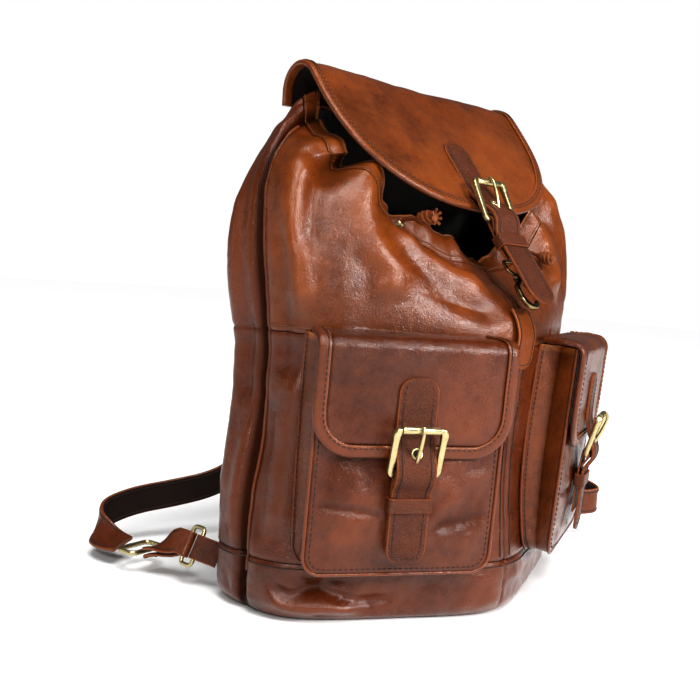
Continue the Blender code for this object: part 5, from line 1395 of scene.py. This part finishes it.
RIGHT_ACROSS = (
    (1, 0, 0), (1, 0, 0), (1, 0, 0.1), (0.9, 0, 0.4), (0.6, 0, 0.8), (0.3, 0, 1),
    (0.1, 0, 1), (0, 0, 1), (0, 0, 1), (0, 0, 1), (0, 0, 1), (0, 0, 1),
    (0, 0, 1), (0, 0, 1),
)
RIGHT_RING, RIGHT_ADJUSTER = np.array((0.1580, 0.0790, 0.0300)), np.array((0.2185, 0.0430, 0.0310))


def shoulder_strap(side, route, across):
    """A strap of two leathers: brown outer face, blackish-brown inner face, rounded brown edges and stitched borders.
    """
    points = catmull(route, 3)
    wide = catmull(across, 3)
    run = lengths(points)
    fine = np.arange(0, run[-1] + 1e-9, 0.0030)
    points = np.stack([np.interp(fine, run, points[:, k]) for k in range(3)], axis=1)
    for _ in range(2):
        points[1:-1] = 0.5 * points[1:-1] + 0.25 * (points[:-2] + points[2:])
    wide = unit(np.stack([np.interp(fine, run, wide[:, k]) for k in range(3)], axis=1))
    body = "strap_" + side
    section = rounded_section(SHOULDER_W / 2, SHOULDER_T / 2, 0.0013, 4)
    verts, faces = sweep(points, wide, section)
    wide_n, thin = strap_axes(points, wide)
    outer = 1.0 if np.sum(thin[: len(points) // 2] @ np.array((0, 1.0, 0))) > 0 else -1.0
    sides = len(section)
    flat = [k for k in range(sides)
            if section[k, 1] * outer < -SHOULDER_T * 0.4 and section[(k + 1) % sides, 1] * outer < -SHOULDER_T * 0.4]
    inner_faces = [i * sides + k for i in range(len(points) - 1) for k in flat]
    wear_and_highlight = np.repeat(0.35 + 0.35 * cloud(points, 0.03, 4.0), sides)
    edge = np.tile((np.abs(section[:, 0]) > SHOULDER_W / 2 - 0.0009) * 0.25, len(points))
    add_piece("shoulder_strap_leather_" + side, verts, faces, "russet_leather", body,
              ("shoulder_strap_" + side,), marks={"wear_and_highlight": wear_and_highlight, "edge": edge},
              extra=(FLESH, inner_faces))
    paths = []
    for face in (1, -1):
        for edge_side in (1, -1):
            line = points + wide_n * (SHOULDER_W / 2 - 0.0030) * edge_side + thin * face * SHOULDER_T / 2
            paths.append((line[3:-3], thin[3:-3] * face))
    add_stitches("shoulder_strap_stitches_" + side, paths, body)


def make_strap(side, sign, route, across, ring_centre, adjuster):
    swing_top = np.array((sign * 0.0320, 0.0900, 0.288))
    axis = unit(swing_top - ring_centre)
    body = "strap_" + side
    line = [(sign * x, y, z) for x, y, z in
            ((0.030, 0.0690, 0.338), (0.0303, 0.0705, 0.325), (0.0310, 0.0770, 0.311), (0.0318, 0.0852, 0.299),
             (0.0320, 0.0885, 0.2915))]
    strap_piece("strap_root_leather_" + side, catmull(line, 6), (1, 0, 0), SHOULDER_W / 2, SHOULDER_T / 2,
                "russet_leather", BAG, 0, 0, (0.0030, (1, -1)), ("strap_root_" + side,))
    shoulder_strap(side, route, across)

    outward = adjuster - ring_centre
    outward = unit(outward - axis * (outward @ axis))
    half = RING_LONG / 2
    loop = rounded_loop(0, RING_SHORT, -half, half, RING_CORNER, 7, 0.0012)
    loop = ring_centre + outward * loop[:, :1] + axis * loop[:, 1:]
    verts, faces = sweep(loop, np.cross(outward, axis), round_bar(RING_R, 16), closed=True)
    add_piece("base_ring_brass_" + side, verts, faces, "antique_brass", body, ("base_ring_" + side,))

    to_bag = np.array((sign * 0.1440, 0.0610, ring_centre[2])) - ring_centre
    to_bag = unit(to_bag - axis * (to_bag @ axis))
    cross = np.cross(axis, to_bag)
    radius = RING_R + 0.0005 + 0.0009
    t = np.radians(180 - np.linspace(100, -100, 21))[:, None]
    loop = ring_centre + to_bag * radius * np.cos(t) + cross * radius * np.sin(t)
    tail = loop[-1]
    reach = 0.0
    while reach < 0.05:
        ahead = tail + to_bag * (reach + 0.0022)
        if plan_faces(*ahead) < 1.0:
            break
        reach += 0.0005
    points = np.vstack((loop, tail + to_bag * reach * 0.5, tail + to_bag * reach))
    strap_piece("base_tab_leather_" + side, points, axis, 0.0095, 0.0009, "strap_leather", BAG,
                replaces=("base_tab_" + side,))
    make_lower_strap(side, adjuster, ring_centre, outward, axis)

    along = unit(np.array((adjuster[0] - ring_centre[0], adjuster[1] - ring_centre[1], 0)))
    wide = np.array((along[1], -along[0], 0))
    half_w, half_l = SLIDE_HALVES
    loop = rounded_loop(-half_w, half_w, -half_l, half_l, SLIDE_CORNER, 9, 0.0012)
    loop = adjuster + wide * loop[:, :1] + along * loop[:, 1:]
    verts, faces = sweep(loop, (0, 0, 1.0), round_bar(1.0, 16) * np.array((0.0020, 0.0017)), closed=True)
    add_piece("strap_adjuster_brass_" + side, verts, faces, "antique_brass", body, ("strap_adjuster_" + side,))


def make_lower_strap(side, adjuster, ring_centre, outward, axis):
    """A doubled strap from the adjuster, round the ring's outer bar and back."""
    bar = ring_centre + outward * RING_SHORT
    toward = adjuster - bar
    toward = unit(toward - axis * (toward @ axis))
    cross = np.cross(axis, toward)
    radius = RING_R + 0.0004 + LOWER_T / 2
    flat = unit(np.array((toward[1], -toward[0], 0)))
    level = unit(np.array((toward[0], toward[1], 0)))
    start = adjuster - level * 0.0135
    share = np.linspace(0, 1, 7)[:, None]
    legs = []
    for sign in (1, -1):
        near = bar + cross * radius * sign
        far = start + np.array((0, 0, 0.0034 * sign))
        knee = near + toward * 0.009
        legs.append(np.vstack((far + (knee - far) * share, near[None])))
    t = np.radians((60, 30, 0, -30, -60))[:, None]
    turn = bar - toward * radius * np.cos(t) + cross * radius * np.sin(t)
    path = np.vstack((legs[0], turn, legs[1][::-1]))
    blend = smoothstep(np.append(share[:, 0], 1.0))[:, None]
    far_wide = flat if flat @ axis >= 0 else -flat
    wides = far_wide * (1 - blend) + axis * blend
    across = np.vstack((wides, np.tile(axis, (5, 1)), wides[::-1]))
    section = rounded_section(0.0100, LOWER_T / 2, 0.0008)
    verts, faces = sweep(path, across, section)
    edge = np.tile((np.abs(section[:, 0]) > 0.0095) * 0.3, len(path))
    add_piece("lower_strap_leather_" + side, verts, faces, "russet_leather", "strap_" + side,
              ("lower_strap_" + side,), marks={"edge": edge, "wear_and_highlight": np.full(len(edge), 0.4)})
    wide_n, thin = strap_axes(path, across)
    paths = []
    for rows in (slice(0, 7), slice(-7, None)):
        for edge_side in (1, -1):
            for face in (1, -1):
                line = path[rows] + wide_n[rows] * 0.0076 * edge_side + thin[rows] * face * LOWER_T / 2
                paths.append((line, thin[rows] * face))
    add_stitches("lower_strap_stitches_" + side, paths, "strap_" + side)


HANDLE_R, HANDLE_SEAM = 0.0042, 0.00035


def make_yoke():
    """Patch on the back that holds the strap roots and the grab handle."""
    half_w, low, high, thickness = 0.048, 0.300, 0.364, 0.0022
    y = 0.0640 + GAP + thickness + 0.0002
    steps = np.sin(np.linspace(-math.pi / 2, math.pi / 2, 40))
    x, z = np.meshgrid(-steps * half_w, (low + high) / 2 + steps * (high - low) / 2)
    gap = np.minimum(half_w - np.abs(x), (high - low) / 2 - np.abs(z - (low + high) / 2))
    soft = -0.0010 * (1 - smoothstep(gap / 0.0016))
    outer = np.stack((x, y + soft, z), axis=-1)
    inner = np.stack((x, np.full(x.shape, y - thickness), z), axis=-1)
    verts, faces, _ = sheet_solid(outer, inner)
    add_piece("strap_yoke_leather", verts, faces, "strap_leather", BAG, ("strap_yoke",),
              marks={"edge": outer_inner((gap < 0.0005) * 0.7, 0)})
    inset = 0.0035
    corners = np.array(((-half_w + inset, y, low + inset), (half_w - inset, y, low + inset),
                        (half_w - inset, y, high - inset), (-half_w + inset, y, high - inset)))
    lines = []
    for k in range(4):
        line = resample(np.vstack((corners[k], corners[(k + 1) % 4])), 0.004)
        lines.append((line, np.tile((0, 1.0, 0), (len(line), 1))))
    add_stitches("strap_yoke_stitches", lines, BAG)

    pivot_y, pivot_z = 0.0722, 0.356
    line = [(-0.034, pivot_y, pivot_z), (-0.0345, pivot_y + 0.006, pivot_z - 0.001),
            (-0.033, 0.086, 0.351), (-0.022, 0.097, 0.345), (0.0, 0.101, 0.342)]
    line += [(-a, b, c) for a, b, c in line[-2::-1]]
    points = resample(catmull(line, 8), 0.0012)
    run = lengths(points) / lengths(points)[-1]
    t = np.arange(24) * math.tau / 24
    seam = HANDLE_SEAM * np.exp(-(np.sin(t / 2 - 0.6) / 0.08) ** 2)
    ring = np.stack((np.cos(t), np.sin(t)), axis=1) * (HANDLE_R - seam)[:, None]
    plump = 0.90 + 0.10 * smoothstep(np.minimum(run, 1 - run) / 0.08)
    verts, faces = sweep(points, (0, 0, 1.0), ring[None] * plump[:, None, None])
    add_piece("grab_handle_leather", verts, faces, "russet_leather", "handle", ("grab_handle",),
              marks={"wear_and_highlight": np.full(len(verts), 0.4), "dark_tone_and_shade": np.tile(seam / HANDLE_SEAM * 0.8, len(points))})
    wide_n, thin = strap_axes(points, (0, 0, 1.0))
    lines = []
    for a in (0.85, 1.55):
        direction = (wide_n * math.cos(a) + thin * math.sin(a))[8:-8]
        lines.append((points[8:-8] + direction * HANDLE_R, direction))
    add_stitches("grab_handle_stitches", lines, "handle")


# ---------------------------------------------------------------- studio and camera
FLOOR_HALF, FLOOR_Z, ROOM_LEVEL = 6.0, -0.0004, 0.16
# Name, place, point it faces, width in metres, watts
AREA_LIGHTS = (
    ("key", (0.30, -1.70, 0.95), (0.0, 0, 0.22), 0.45, 44.0),
    ("left", (-1.45, -1.25, 1.00), (-0.05, 0, 0.22), 0.30, 18.0),
    ("rim", (-1.6, 1.1, 0.65), (-0.1, 0.05, 0.2), 0.25, 2.0),
)
# Fitted to the photograph: place, then yaw, pitch down and roll in degrees, and the lens in millimetres
CAMERA_PLACE, CAMERA_TURNS, LENS, SENSOR = (-0.6059, -0.5347, 0.2534), (44.04, 4.72, 4.50), 51.39, 36.0
GAMMA = 0.80


def make_studio():
    floor_mat, tree, shader = mat_nodes("floor_paper")
    shader.inputs["Base Color"].default_value = (0.96, 0.96, 0.96, 1)
    shader.inputs["Roughness"].default_value = 0.9
    mesh = bpy.data.meshes.new("floor")
    mesh.from_pydata([(x * FLOOR_HALF, y * FLOOR_HALF, FLOOR_Z) for x, y in ((-1, -1), (1, -1), (1, 1), (-1, 1))], [],
                     [(0, 1, 2, 3)])
    mesh.materials.append(floor_mat)
    floor = bpy.data.objects.new("floor", mesh)
    bpy.context.scene.collection.objects.link(floor)

    world = bpy.data.worlds.new("studio")
    bpy.context.scene.world = world
    world.use_nodes = True
    # White behind the bag, and a dim room in its reflections
    sky = world.node_tree.nodes["Background"]
    sky.inputs["Color"].default_value = (1, 1, 1, 1)
    seen = world.node_tree.nodes.new("ShaderNodeLightPath")
    level = world.node_tree.nodes.new("ShaderNodeMapRange")
    level.inputs["To Min"].default_value = ROOM_LEVEL
    world.node_tree.links.new(seen.outputs["Is Camera Ray"], level.inputs["Value"])
    world.node_tree.links.new(level.outputs["Result"], sky.inputs["Strength"])
    sun = bpy.data.lights.new("even_light", "SUN")
    sun.energy, sun.angle = 3.3, math.radians(30)
    obj = bpy.data.objects.new("even_light", sun)
    obj.rotation_euler = Vector((-0.35, -0.55, 1.15)).to_track_quat("Z", "Y").to_euler()
    bpy.context.scene.collection.objects.link(obj)
    for name, place, target, size, power in AREA_LIGHTS:
        lamp = bpy.data.lights.new(name, "AREA")
        lamp.size, lamp.energy = size, power
        obj = bpy.data.objects.new(name, lamp)
        obj.location = place
        obj.rotation_euler = (Vector(target) - Vector(place)).to_track_quat("-Z", "Y").to_euler()
        bpy.context.scene.collection.objects.link(obj)


def make_camera():
    yaw, pitch, roll = (math.radians(angle) for angle in CAMERA_TURNS)
    forward = Vector((math.sin(yaw) * math.cos(pitch), math.cos(yaw) * math.cos(pitch), -math.sin(pitch)))
    right = Vector((math.cos(yaw), -math.sin(yaw), 0))
    up = right.cross(forward)
    c, s = math.cos(roll), math.sin(roll)
    tilted_right, tilted_up = right * c + up * s, up * c - right * s
    data = bpy.data.cameras.new("camera")
    data.sensor_width, data.lens = SENSOR, LENS
    data.clip_start, data.clip_end = 0.05, 20.0
    camera = bpy.data.objects.new("camera", data)
    camera.matrix_world = Matrix.Translation(CAMERA_PLACE) @ Matrix(
        (tilted_right, tilted_up, -forward)).transposed().to_4x4()
    bpy.context.scene.collection.objects.link(camera)
    bpy.context.scene.camera = camera


make_body()
make_body_seams()
for side_name, side_sign in (("left", -1), ("right", 1)):
    make_pocket(side_name, side_sign)
make_main_flap()
make_clip_tab()
make_drawcord()
make_yoke()
make_strap("left", -1, LEFT_ROUTE, LEFT_ACROSS, LEFT_RING, LEFT_ADJUSTER)
make_strap("right", 1, RIGHT_ROUTE, RIGHT_ACROSS, RIGHT_RING, RIGHT_ADJUSTER)
make_studio()
make_camera()
bpy.context.scene.view_settings.view_transform = "Standard"
bpy.context.scene.view_settings.gamma = GAMMA
